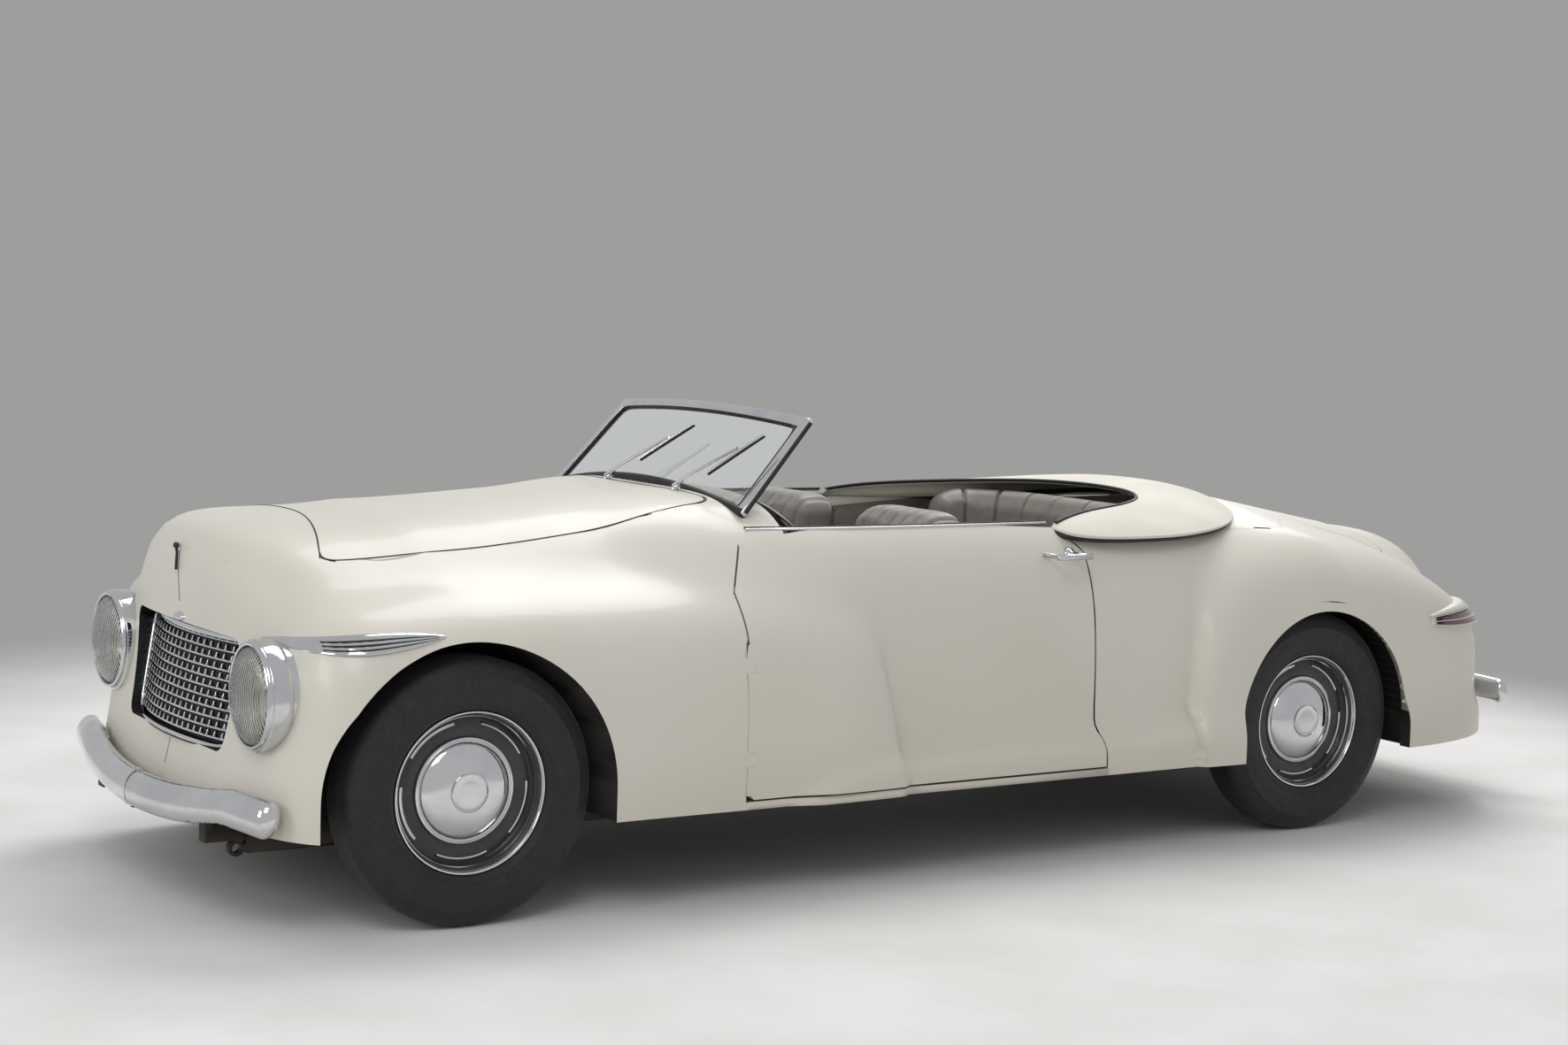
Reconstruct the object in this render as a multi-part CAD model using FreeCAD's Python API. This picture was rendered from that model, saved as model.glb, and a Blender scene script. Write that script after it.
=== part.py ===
"""Open four-seat roadster convertible of the late 1940s, built from its panels and running gear.

Frame: +X to the nose, +Y to the car's left, +Z up, millimetres. The origin is on the ground,
below the middle of the car's length and width.
"""
import FreeCAD, Part
import math
import os

V = FreeCAD.Vector

# Overall sizes
wheelbase = 3000.0
track_share = 0.811429
front_overhang = 665.0
rear_overhang = 1165.0
body_width = 1750.0
body_bottom = 260.0
deck_height = 1120.0
nose_inset = 105.0
tail_inset = 65.0

# Panels
panel_thickness = 22.0
panel_gap = 6.0
seat_gap = 0.3
overrun = 400.0

# Wheels and tyres
tyre_radius = 356.0
tyre_width = 165.0
rim_radius = 218.0
hub_cap_radius = 142.0
hub_cap_depth = 34.0
spindle_radius = 24.0
kingpin_inset = 90.0
hub_reach = 45.0
hub_radius = 58.0
disc_thickness = 17.0
disc_radius = 188.0
ring_radius = 205.0
rim_half_width = 61.0
cap_steps = 6
shoulder_radius = 347.0
shoulder_half = 62.0
tread_half = 47.0

# Places along the car that the sizes above settle
front_axle_x = (wheelbase + rear_overhang - front_overhang) / 2
rear_axle_x = front_axle_x - wheelbase
nose_reach = front_overhang - nose_inset
tail_reach = rear_overhang - tail_inset
half_width = body_width / 2
half_track = track_share * half_width
body_height = deck_height - body_bottom


def width_share(share):
    """A place or size across the car, as a share of the body's half width."""
    return share * half_width


# Body form, as shares: place along the car (-1 nose, 0 front axle, 1 rear axle, 2 tail), then a
# share of the body's height above its bottom edge, or of its half width
centre_line_shares = [(-1, 0.915), (-0.35, 0.92), (0, 0.937), (0.167, 0.965), (0.295, 0.992),
                      (0.5, 1.0), (0.8, 0.965), (1.0, 0.925), (1.22, 0.877), (1.43, 0.84),
                      (1.72, 0.78), (2, 0.78)]
body_side_shares = [(-1, 0.82), (0, 0.8), (0.167, 0.79), (0.283, 0.875), (0.4, 0.905),
                    (0.8, 0.905), (1.0, 0.85), (1.55, 0.75), (2, 0.64)]
body_square_shares = [(-1, 2.6), (0, 2.7), (0.167, 3.2), (0.283, 4.2), (0.4, 4.6),
                      (0.8, 4.4), (1.0, 3.2), (2, 2.4)]
front_wing_top_shares = [(-1, 0.66), (-0.54, 0.71), (0, 0.74), (0.167, 0.745), (0.26, 0.735),
                         (0.32, 0.715), (0.38, 0.665), (0.408, 0.6), (0.425, 0.51),
                         (0.435, 0.39), (0.443, 0.22), (0.448, 0.05), (0.45, 0)]
front_wing_side_shares = [(-1, 0.985), (0.233, 0.985), (0.367, 0.98), (0.433, 0.96), (0.45, 0.94)]
rear_wing_top_shares = [(0.82, 0), (0.822, 0.05), (0.825, 0.22), (0.83, 0.4), (0.838, 0.56),
                        (0.852, 0.68), (0.88, 0.78), (0.92, 0.83), (0.967, 0.845),
                        (1.04, 0.84), (1.24, 0.8), (1.5, 0.72), (1.66, 0.655), (1.78, 0.62),
                        (2, 0.57)]
rear_wing_side_shares = [(0.82, 0.955), (0.84, 0.97), (0.9, 0.985), (1.27, 0.985), (1.73, 0.97),
                         (2, 0.93)]
sill_top_shares = [(0.32, 0), (0.35, 0.07), (0.43, 0.14), (0.5, 0.155), (0.77, 0.17),
                   (0.83, 0.19), (2, 0.19)]
sill_side_share = 0.975
wing_squareness = 5.5
nose_round_share = 0.67
tail_round_share = 0.87
nose_powers = (3.4, 6.0)
tail_powers = (3.0, 7.0)
end_power_rise = 4
nose_hollow = 50.0
hollow_start_share = 0.05
hollow_span_share = 0.8
cap_radius = 1.0
union_sharpness = 18.0
union_trim_share = 0.985

# Cabin and doors
floor_thickness = 22.0
bulkhead_x_share = 0.207
bulkhead_thickness = 12.0
cabin_half_width = width_share(0.788571)
cabin_top_half_width = width_share(0.731429)
elbow_height = 760.0
scuttle_edge_share = 0.342
upper_bulkhead_share = 0.295
bulkhead_step = 740.0
cabin_rear_share = 0.985
waist_height = 1018.0
tunnel_half_width = 100.0
tunnel_height = 440.0
tunnel_wall = 12.0
door_front_share = 0.27
door_front_lean = 90.0
door_lean_start = 850.0
door_length = 1275.0
door_bottom = 287.0
door_corner = 12.0
hinge_inset = 36.0
hinge_radius = 14.0
hinge_length = 40.0
hinge_heights = (400.0, 660.0)
door_top_lean = 90.0
door_top_lean_start = 930.0
handle_front = 1905.0
handle_rear = 2035.0
handle_z = 924.0
handle_y = width_share(0.914286)
handle_radius = 9.0
handle_post_radius = 7.0

# Engine bay, bonnet lid and boot
bay_half_width = width_share(0.502857)
bay_front_share = -0.75
radiator_x = 345.0
radiator_thickness = 50.0
radiator_half_width = width_share(0.342857)
radiator_top = 700.0
lid_half_width = width_share(0.514286)
lid_rear_share = 0.288
lid_corner_share = 0.3
lid_front_share = -0.56
lid_front_centre_share = -0.38
lid_corner_radius = 60.0
lid_front_round = 0.4
lid_side_round = 0.35
lid_floor = 800.0
lid_tab_places = (-130.0, 700.0)
lid_tab_length = 40.0
lid_tab_y = width_share(0.485714)
lid_tab_width = 50.0
lid_tab_thickness = 20.0
boot_tab_places = (3380.0, 3640.0)
boot_tab_y = width_share(0.44)
boot_front_share = 1.24
boot_rear_share = 1.76
boot_half_width = width_share(0.491429)
boot_lid_front_share = 1.27
boot_lid_rear_share = 1.68
boot_lid_half_width = width_share(0.457143)
boot_lid_corner = 60.0
boot_lid_lean_share = 0.34
boot_lid_root_share = 0.7
boot_floor = 590.0
underside_height = 560.0
underside_half_width = width_share(0.662857)
underside_front = 2480.0
underside_rear = 3960.0
rear_cabin_start = 2540.0
rear_cabin_half_width = width_share(0.689143)
fuel_tank_front = 3600.0
fuel_tank_rear = 3850.0
fuel_tank_half_width = width_share(0.411429)
fuel_tank_bottom = 300.0

# Wheel wells
front_arch_radius = 408.0
front_arch_lead = 16.0
front_arch_height = 350.0
front_well_inner = width_share(0.531429)
rear_arch_radius = 368.0
rear_well_radius = 400.0
rear_well_inner = width_share(0.702857)
rear_lip_depth = width_share(0.051429)

# Hood cover over the folded top, and the rear seat inside it
cover_base = 975.0
cover_front_share = 0.65
cover_widest_share = 0.82
cover_rear_share = 1.2
cover_half_width = width_share(0.88)
cover_tip_half_width = width_share(0.788571)
cover_height = 140.0
cover_inner_half_width = width_share(0.685714)
cover_inner_rear_share = 0.96
cover_inner_corner = width_share(0.342857)
cover_squareness = 2.4
cover_front_rows = 4
cover_rear_rows = 8
cover_reach_power = 0.9
cover_width_power = 0.8
cover_crown_power = 0.35
cover_end_share = 0.02

# Windscreen
screen_base_x = 930.0
screen_base_z = 1113.0
screen_top_x = 1150.0
screen_top_z = 1341.0
screen_bow = 60.0
screen_top_bow = 42.0
screen_base_half = width_share(0.657143)
screen_top_half = width_share(0.626286)
screen_corner_drop = 78.0
screen_top_drop = 29.0
screen_frame_width = 32.0
screen_frame_depth = 22.0
glass_thickness = 6.0
screen_foot = 90.0

# Lamps, grille and bumpers
lamp_x = 520.0
lamp_y = width_share(0.638857)
lamp_z = 611.0
lamp_radius = 131.0
bezel_radius = 146.0
lamp_dome = 38.0
lamp_drum = 130.0
bezel_slope = 45.0
bezel_flat = 30.0
bezel_lip = 7.5
lens_steps = 5
grille_top_z = 735.0
grille_bottom_z = 430.0
grille_top_half = width_share(0.457143)
grille_bottom_half = width_share(0.411429)
grille_corner = 40.0
grille_bow = 60.0
grille_lean = 50.0
grille_front = 545.0
grille_frame = 16.0
grille_depth = 30.0
grille_frame_proud = 6.0
bar_depth = 18.0
bar_count = 11
bar_height = 9.0
slat_count = 20
slat_width = 5.0
trim_height = 12.0
tail_lamp_front = 3550.0
tail_lamp_rear = 3830.0
tail_lamp_y = width_share(0.731429)
tail_lamp_bottom = 630.0
tail_lamp_top = 720.0
blade_front = 500.0
blade_rear = 127.0
blade_bottom = 744.0
blade_top = 786.0
blade_tip = 772.0
blade_y = width_share(0.731429)
bumper_height = 50.0
bumper_depth = 36.0
bumper_z = 338.0
bumper_half = width_share(0.8)
bumper_bow = 95.0
bumper_drop = 20.0
rear_bumper_height = 42.0
rear_bumper_depth = 26.0
rear_bumper_z = 372.0
rear_bumper_half = width_share(0.708571)
rear_bumper_bow = 60.0
iron_half_width = 22.0
iron_y = width_share(0.468571)

# Chassis, axles and engine
rail_y = width_share(0.468571)
rail_width = 60.0
rail_bottom = 175.0
rail_height = body_bottom - seat_gap - rail_bottom
rail_front = 480.0
kick_up_start = 2500.0
kick_up_end = 2750.0
kick_down_start = 3290.0
kick_down_end = 3560.0
rail_rear = 3930.0
kick_up_height = 545.0
rail_rear_height = 440.0
cross_member = 60.0
cross_member_places = [-400.0, -60.0, 833.0, 1550.0]
tow_eye_radius = 22.0
tow_eye_width = 20.0
tow_eye_bore = 12.0
tow_eye_rise = 11.0
arm_high_z = 484.0
arm_thickness = 24.0
arm_spread = 95.0
ball_radius = 22.0
plate_radius = 150.0
plate_thickness = 8.0
axle_tube_radius = 38.0
final_drive_radius = 125.0
spring_width = 55.0
spring_thickness = 34.0
spring_sink = 6.0
spring_front = 2670.0
spring_rear = 3600.0
shackle_length = 34.0
engine_length = 700.0
engine_width = width_share(0.342857)
engine_top = 800.0
engine_front = 250.0
gearbox_length = 520.0
gearbox_radius = 80.0
shaft_radius = 34.0
exhaust_radius = 24.0
exhaust_y = width_share(0.285714)
exhaust_z = 212.0
exhaust_start = 450.0
silencer_front = 1700.0
silencer_rear = 2200.0
silencer_radius = 42.0

# Seats, dashboard and steering wheel
seat_width = width_share(0.56)
seat_y = width_share(0.405714)
cushion_rear = 1450.0
cushion_length = 500.0
cushion_bottom = 430.0
cushion_height = 170.0
back_thickness = 140.0
back_top = 1075.0
back_lean = 130.0
seat_round = 45.0
rear_cushion_front = 2330.0
rear_cushion_top = 700.0
rear_cushion_height = 118.0
rear_base_half_width = width_share(0.571429)
rear_base_inset = 15.0
rear_back_thickness = 110.0
rear_back_top = 1085.0
dash_depth = 60.0
dash_drop = 230.0
dash_half_width = width_share(0.708571)
wheel_x = 1190.0
wheel_y = width_share(0.4)
wheel_z = 900.0
wheel_rim_radius = 200.0
wheel_rim_tube = 13.0
column_lean_x = 0.8
column_lean_z = 0.6
column_radius = 24.0
spoke_count = 3
spoke_radius = 8.0
wheel_hub_radius = 38.0
wiper_y = 200.0
wiper_stand_off = 26.0
wiper_reach = 190.0
wiper_rise = 70.0
wiper_blade_half = 110.0
wiper_blade_drop = 40.0
wiper_post = 35.0
wiper_radius = 5.0

# Rows and points of the body surface
nose_rows = 8
tail_rows = 8
section_points = 28
middle_shares = [-0.15, 0, 0.1, 0.17, 0.22, 0.27, 0.31, 0.345, 0.375, 0.4, 0.415, 0.43, 0.441,
                 0.45, 0.48, 0.58, 0.7, 0.78, 0.818, 0.826, 0.836, 0.852, 0.88, 0.93, 1.0, 1.07]


def along(share):
    """Place along the car: -1 at the nose, 0 at the front axle, 1 at the rear axle, 2 at the tail."""
    if share < 0:
        return front_axle_x - share * nose_reach
    if share > 1:
        return rear_axle_x - (share - 1) * tail_reach
    return front_axle_x - share * wheelbase


def level(share):
    """Height of a share of the body's height above its bottom edge."""
    return body_bottom + share * body_height


def curve(shares, place):
    """Value at a place of the smooth line through hand-chosen points, with no overshoot."""
    if place <= shares[0][0]:
        return shares[0][1]
    if place >= shares[-1][0]:
        return shares[-1][1]
    spans = list(zip(shares, shares[1:]))
    slopes = [(b[1] - a[1]) / (b[0] - a[0]) for a, b in spans]
    tangents = [slopes[0]]
    for left, right in zip(slopes, slopes[1:]):
        tangents.append(0.0 if left * right <= 0 else 2 * left * right / (left + right))
    tangents.append(slopes[-1])
    for i, (a, b) in enumerate(spans):
        if place <= b[0]:
            run = b[0] - a[0]
            t = (place - a[0]) / run
            start = (1 + 2 * t) * (1 - t) ** 2 * a[1] + t * (1 - t) ** 2 * run * tangents[i]
            end = t * t * (3 - 2 * t) * b[1] + t * t * (t - 1) * run * tangents[i + 1]
            return start + end


def oval(angle, half, height, squareness):
    """Distance from the section's centre to a squared oval, at an angle from the ground."""
    across = abs(math.cos(angle)) / half
    up = abs(math.sin(angle)) / height
    return (across ** squareness + up ** squareness) ** (-1 / squareness)


def section_radius(place, angle):
    """Body, wings and sill flare run smoothly into one another around each section."""
    parts = [(curve(body_side_shares, place), curve(centre_line_shares, place),
              curve(body_square_shares, place))]
    for side, top in ((front_wing_side_shares, front_wing_top_shares),
                      (rear_wing_side_shares, rear_wing_top_shares)):
        height = curve(top, place)
        if height > 0:
            parts.append((curve(side, place), height, wing_squareness))
    flare = curve(sill_top_shares, place)
    if flare > 0:
        parts.append((sill_side_share, flare, wing_squareness))
    radii = [oval(angle, side * half_width, top * body_height, squareness)
             for side, top, squareness in parts]
    widest = max(radii)
    total = sum((radius / widest) ** union_sharpness for radius in radii)
    return widest * total ** (1 / union_sharpness) * union_trim_share


def place_of(x):
    """The share whose place is x."""
    if x > front_axle_x:
        return (front_axle_x - x) / nose_reach
    if x < rear_axle_x:
        return 1 + (rear_axle_x - x) / tail_reach
    return (front_axle_x - x) / wheelbase


def body_point(x, shrink, angle, inset, hollow):
    """One point of the form's skin: at x, its section shrunk and drawn in by inset."""
    folded = min(angle, math.pi - angle)
    radius = max(section_radius(place_of(x), folded) * shrink - inset, cap_radius)
    z = radius * math.sin(folded)
    rise = min(max(z / body_height - hollow_start_share, 0), hollow_span_share)
    setback = hollow * math.sin(math.pi * rise / hollow_span_share)
    return V(x - setback, radius * math.cos(angle), body_bottom + z)


def end_row(step, base_x, reach, powers, inset, hollow):
    """A ring of the rounded nose or tail; the last one closes on a point at the bottom edge."""
    shrink = math.cos(math.pi / 2 * step)
    points = []
    for i in range(section_points + 1):
        angle = math.pi * i / section_points
        power = powers[0] + (powers[1] - powers[0]) * math.sin(angle) ** end_power_rise
        forward = (1 - shrink ** power) ** (1 / power)
        x = base_x + reach * forward
        drawn_in = math.copysign(inset, reach) * step ** 2
        point = body_point(x, shrink, angle, inset, hollow * forward ** 2)
        points.append(point - V(drawn_in, 0, 0))
    return points


def form_rows(inset):
    """The rings of points from nose to tail that the body's skin runs through."""
    nose_round = nose_round_share * nose_reach
    tail_round = tail_round_share * tail_reach
    nose_base = along(-1) - nose_round
    tail_base = along(2) + tail_round
    rows = [end_row(i / nose_rows, nose_base, nose_round, nose_powers, inset, nose_hollow)
            for i in range(nose_rows, -1, -1)]
    for share in middle_shares:
        x = along(share)
        rows.append([body_point(x, 1.0, math.pi * i / section_points, inset, 0)
                     for i in range(section_points + 1)])
    rows += [end_row(i / tail_rows, tail_base, -tail_round, tail_powers, inset, 0)
             for i in range(tail_rows + 1)]
    return rows


def closed(edges):
    """A flat face inside a loop of edges."""
    return Part.Face(Part.Wire(Part.__sortEdges__(edges)))


def form(rows):
    """A closed solid whose skin runs straight from one curved ring of points to the next."""
    steps = len(rows[0]) - 1
    parameters = [i / steps for i in range(steps + 1)]
    curves = []
    for row in rows:
        ring = Part.BSplineCurve()
        ring.interpolate(Points=row, Parameters=parameters)
        curves.append(ring)
    faces = []
    for a, b in zip(curves, curves[1:]):
        strip = Part.BSplineSurface()
        strip.buildFromPolesMultsKnots([a.getPoles(), b.getPoles()], [2, 2], a.getMultiplicities(),
                                       [0.0, 1.0], a.getKnots(), False, False, 1, a.Degree)
        faces.append(strip.toShape())
    for ring, row in ((curves[0], rows[0]), (curves[-1], rows[-1])):
        faces.append(closed([ring.toShape(), Part.makeLine(row[0], row[-1])]))
    outline = [row[0] for row in rows] + [row[-1] for row in reversed(rows)]
    faces.append(Part.Face(Part.makePolygon(outline + outline[:1])))
    shell = Part.makeShell(faces)
    shell.sewShape()
    solid = Part.makeSolid(shell)
    if solid.Volume < 0:
        solid.reverse()
    return solid


def body_form(inset=0.0):
    """The whole body as one closed solid, drawn in by inset."""
    return form(form_rows(inset))


def block(x0, x1, y0, y1, z0, z1):
    """A box between two corners."""
    return Part.makeBox(x1 - x0, y1 - y0, z1 - z0, V(x0, y0, z0))


def side_plate(points, y0, y1):
    """A plate with an outline of (x, z) points, from y0 to y1."""
    wire = Part.makePolygon([V(x, y0, z) for x, z in points + points[:1]])
    return Part.Face(wire).extrude(V(0, y1 - y0, 0))


def cross_plate(points, x0, x1):
    """A plate with an outline of (y, z) points, from x0 to x1."""
    wire = Part.makePolygon([V(x0, y, z) for y, z in points + points[:1]])
    return Part.Face(wire).extrude(V(x1 - x0, 0, 0))


def rounded_plan(x0, x1, half, corner, z0, rise):
    """A plan outline with rounded corners between x0 and x1, raised along rise."""
    sheet = Part.makePlane(x1 - x0, 2 * half, V(x0, -half, z0))
    solid = sheet.extrude(rise)
    upright = [e for e in solid.Edges if e.BoundBox.ZLength > rise.z / 2]
    return solid.makeFillet(corner, upright)


def rod(start, end, radius):
    """A round bar between two points."""
    return Part.makeCylinder(radius, (end - start).Length, start, end - start)


def turned(profile, centre, axis=V(0, 1, 0)):
    """Turns an outline of (radius, place along the axis) points about an axis through centre."""
    across = V(1, 0, 0) if abs(axis.x) < 0.5 else V(0, 0, 1)
    points = [centre + across * radius + axis * place for radius, place in profile]
    face = Part.Face(Part.makePolygon(points + points[:1]))
    return face.revolve(centre, axis, 360)


def mirrored(shape):
    """The same piece on the other side of the car."""
    return shape.mirror(V(0, 0, 0), V(0, 1, 0))


def joined(pieces):
    """One solid from pieces that meet."""
    return pieces[0].multiFuse(pieces[1:]).removeSplitter()


def behind(distance):
    """Place a distance behind the front axle."""
    return front_axle_x - distance


def arc(a, b, c):
    """A round edge through three points."""
    return Part.Arc(a, b, c).toShape()


def lid_prism(grow):
    """The bonnet lid's outline, grown all round, as an upright prism."""
    half = lid_half_width + grow
    front = along(lid_front_share) + grow
    centre = along(lid_front_centre_share) + grow
    corner = along(lid_corner_share) - grow
    rear = along(lid_rear_share) - grow
    r = lid_corner_radius
    z = lid_floor
    cut = r * (1 - math.sqrt(0.5))
    left = [V(front - lid_front_round * r, half - lid_side_round * r, z), V(front - r, half, z),
            V(corner + r, half, z),
            V(corner + cut, half - cut, z), V(corner, half - r, z)]
    right = [V(p.x, -p.y, p.z) for p in left]
    edges = [arc(right[0], V(centre, 0, z), left[0]),
             Part.makeLine(left[0], left[1]),
             Part.makeLine(left[1], left[2]),
             arc(left[2], left[3], left[4]),
             arc(left[4], V(rear, 0, z), right[4]),
             arc(right[4], right[3], right[2]),
             Part.makeLine(right[2], right[1]),
             Part.makeLine(right[1], right[0])]
    return closed(edges).extrude(V(0, 0, body_height))


def boot_prism(grow):
    """The boot lid's outline, grown all round, leaning as the lid swings."""
    rise = V(-boot_lid_lean_share, 0, 1) * (deck_height - boot_floor)
    shift = rise.x * boot_lid_root_share
    return rounded_plan(along(boot_lid_rear_share) - grow - shift,
                        along(boot_lid_front_share) + grow - shift,
                        boot_lid_half_width + grow, boot_lid_corner, boot_floor, rise)


def door_hinge():
    """Place of the left door's upright hinge axis, within the wall's thickness."""
    return V(along(door_front_share), half_width - hinge_inset, 0)


def door_zone(grow):
    """The left door's own space: rolled front edge about the hinge, rear edge cut to its swing."""
    hinge = door_hinge()
    front = hinge.x + grow
    rear = hinge.x - door_length - overrun
    low = door_bottom - grow
    top = waist_height + grow
    outline = [(front - door_corner, low), (front, low + door_corner),
               (front, door_lean_start), (front - door_front_lean, waist_height),
               (front - door_front_lean, top), (rear, top), (rear, low)]
    wall_y = cabin_half_width - grow
    waist_y = cabin_top_half_width - grow
    height = waist_height + overrun
    sides = [(wall_y, 0), (wall_y, elbow_height), (waist_y, waist_height), (waist_y, height),
             (half_width + overrun, height), (half_width + overrun, 0)]
    zone = side_plate(outline, 0, half_width + overrun)
    zone = zone.common(cross_plate(sides, rear - overrun, front + overrun))
    rise = waist_height + panel_gap - door_top_lean_start
    slant = math.hypot(door_top_lean, rise) / rise
    swing = Part.makeCylinder(door_length + grow, door_top_lean_start, V(hinge.x, hinge.y, 0))
    cap = Part.makeCone(door_length + grow * slant, door_length + grow * slant - door_top_lean,
                        rise, V(hinge.x, hinge.y, door_top_lean_start))
    foot = low + door_corner - 2 * grow
    edge = Part.makeCylinder(hinge_radius + grow, door_lean_start - foot,
                             V(hinge.x, hinge.y, foot))
    return zone.common(swing.fuse(cap)).fuse(edge)


def hinge_knuckles(radius, play):
    """The body's hinge knuckles on the left door's axis, with their webs to the body."""
    hinge = door_hinge()
    pieces = []
    for z in hinge_heights:
        low = z - hinge_length / 2 - play
        pieces.append(Part.makeCylinder(radius, hinge_length + 2 * play, V(hinge.x, hinge.y, low)))
    return pieces


def hinge_webs():
    """Webs that carry the hinge knuckles on the front body."""
    hinge = door_hinge()
    return [block(hinge.x, hinge.x + hinge_radius + 2 * panel_gap, hinge.y - hinge_radius / 2,
                  hinge.y + hinge_radius / 4, z - hinge_length / 2, z + hinge_length / 2)
            for z in hinge_heights]


def rest_tabs(inner, places, tab_y):
    """Tabs under a lid's edges that it rests on, hung below the skin."""
    under = inner.translated(V(0, 0, -seat_gap))
    below = under.translated(V(0, 0, -lid_tab_thickness))
    tabs = []
    for place in places:
        zone = block(behind(place) - lid_tab_length, behind(place), tab_y, tab_y + lid_tab_width,
                     lid_floor, deck_height + overrun)
        tab = biggest(under.common(zone).cut(below))
        tabs += [tab, mirrored(tab)]
    return tabs


def cabin_outline(half, floor, top):
    """Section (y, z) points of the cabin hollow between two heights."""
    upper = min(half, cabin_top_half_width)
    points = [(half, floor), (half, elbow_height), (upper, waist_height)]
    if top < waist_height:
        points[-1] = (half + (upper - half) * (top - elbow_height)
                      / (waist_height - elbow_height), top)
    else:
        points.append((upper, top))
    return [(-y, z) for y, z in reversed(points)] + points


def cabin_space(inner):
    """The hollow for people: footwell, under the scuttle, between the doors, round the seats."""
    floor_top = body_bottom + floor_thickness
    open_z = deck_height + overrun
    edge = along(scuttle_edge_share)
    upper = along(upper_bulkhead_share)
    step = behind(underside_front) + panel_thickness
    rear_floor = underside_height + panel_thickness
    footwell = block(upper, along(bulkhead_x_share), -cabin_half_width, cabin_half_width,
                     floor_top, bulkhead_step).common(inner)
    covered = cross_plate(cabin_outline(cabin_half_width, floor_top, open_z), edge,
                          upper).common(inner)
    sides = cross_plate(cabin_outline(cabin_half_width, floor_top, cover_base), step, edge)
    haunch = cross_plate(cabin_outline(cabin_half_width, rear_floor, cover_base),
                         behind(rear_cabin_start), step)
    rear = block(along(cabin_rear_share), behind(rear_cabin_start), -rear_cabin_half_width,
                 rear_cabin_half_width, rear_floor, cover_base)
    open_top = cross_plate(cabin_outline(cabin_half_width, floor_top, open_z),
                           along(cover_front_share), edge)
    well = well_outline(0, rear_floor, open_z)
    front = along(door_front_share) - door_front_lean + panel_gap
    above_waist = block(along(cover_front_share), front, -half_width - overrun,
                        half_width + overrun, waist_height, open_z)
    above_waist = above_waist.cut(block(edge, front, -cabin_half_width, cabin_half_width,
                                        waist_height - overrun, open_z + overrun))
    return [footwell, covered, sides.multiFuse([haunch, rear, open_top]), well, above_waist]


def well_outline(shrink, z0, z1):
    """The opening round the rear seat, drawn in by shrink, as a prism."""
    half = cover_inner_half_width - shrink
    return rounded_plan(along(cover_inner_rear_share) + shrink,
                        along(cover_front_share) + overrun, half,
                        cover_inner_corner - shrink, z0, V(0, 0, z1 - z0))


def cover_rows():
    """Rings of the hood cover, squared ovals that close towards its rear edge."""
    rows = []
    tip = along(cover_front_share)
    widest = along(cover_widest_share)
    rear = along(cover_rear_share)
    for i in range(cover_front_rows):
        t = i / (cover_front_rows - 1)
        x = tip + (widest - tip) * t
        half = cover_tip_half_width + (cover_half_width - cover_tip_half_width) * math.sqrt(t)
        rows.append((x, half, cover_height))
    for i in range(1, cover_rear_rows + 1):
        turn = math.pi / 2 * i / cover_rear_rows
        x = widest + (rear - widest) * math.sin(turn) ** cover_reach_power
        shrink = max(math.cos(turn), cover_end_share)
        rows.append((x, cover_half_width * shrink ** cover_width_power,
                     cover_height * shrink ** cover_crown_power))
    rings = []
    for x, half, height in rows:
        ring = []
        for i in range(section_points + 1):
            angle = math.pi * i / section_points
            radius = oval(angle, half, height, cover_squareness)
            ring.append(V(x, radius * math.cos(angle), cover_base + radius * math.sin(angle)))
        rings.append(ring)
    return rings


def cover_plan(grow):
    """The hood cover's plan outline above its base, grown all round."""
    left = [V(row[0].x, row[0].y + grow, cover_base - seat_gap) for row in cover_rows()]
    left[-1] = left[-1] - V(grow, 0, 0)
    right = [V(p.x, -p.y, p.z) for p in reversed(left)]
    outline = left + right
    return Part.Face(Part.makePolygon(outline + outline[:1])).extrude(V(0, 0, overrun))


def wheel_wells():
    """Spaces round the four wheels, open through the wings' sides."""
    wells = []
    centre = V(front_axle_x + front_arch_lead, front_well_inner, front_arch_height)
    front = Part.makeCylinder(front_arch_radius, overrun + half_width, centre, V(0, 1, 0))
    below = block(centre.x - front_arch_radius, centre.x + front_arch_radius, front_well_inner,
                  front_well_inner + half_width, body_bottom - overrun, front_arch_height)
    wells.append(front.fuse(below))
    hub = V(rear_axle_x, rear_well_inner, tyre_radius)
    lip = half_width - rear_lip_depth
    inside = Part.makeCylinder(rear_well_radius, lip - rear_well_inner, hub, V(0, 1, 0))
    low = block(hub.x - rear_well_radius, hub.x + rear_well_radius, rear_well_inner, lip,
                body_bottom - overrun, tyre_radius)
    arch = Part.makeCylinder(rear_arch_radius, overrun, V(hub.x, lip, tyre_radius), V(0, 1, 0))
    foot = block(hub.x - rear_arch_radius, hub.x + rear_arch_radius, lip, lip + overrun,
                 body_bottom - overrun, tyre_radius)
    wells.append(inside.multiFuse([low, arch, foot]))
    return wells + [mirrored(well) for well in wells]


def grille_opening(grow):
    """The grille's outline through the nose, with rounded corners."""
    points = [(grille_bottom_half + grow, grille_bottom_z - grow),
              (grille_top_half + grow, grille_top_z + grow),
              (-grille_top_half - grow, grille_top_z + grow),
              (-grille_bottom_half - grow, grille_bottom_z - grow)]
    prism = cross_plate(points, along(bay_front_share) - overrun / 2, along(-1) + overrun)
    return prism.makeFillet(grille_corner + grow, [e for e in prism.Edges
                                                   if e.BoundBox.XLength > overrun])


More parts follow.
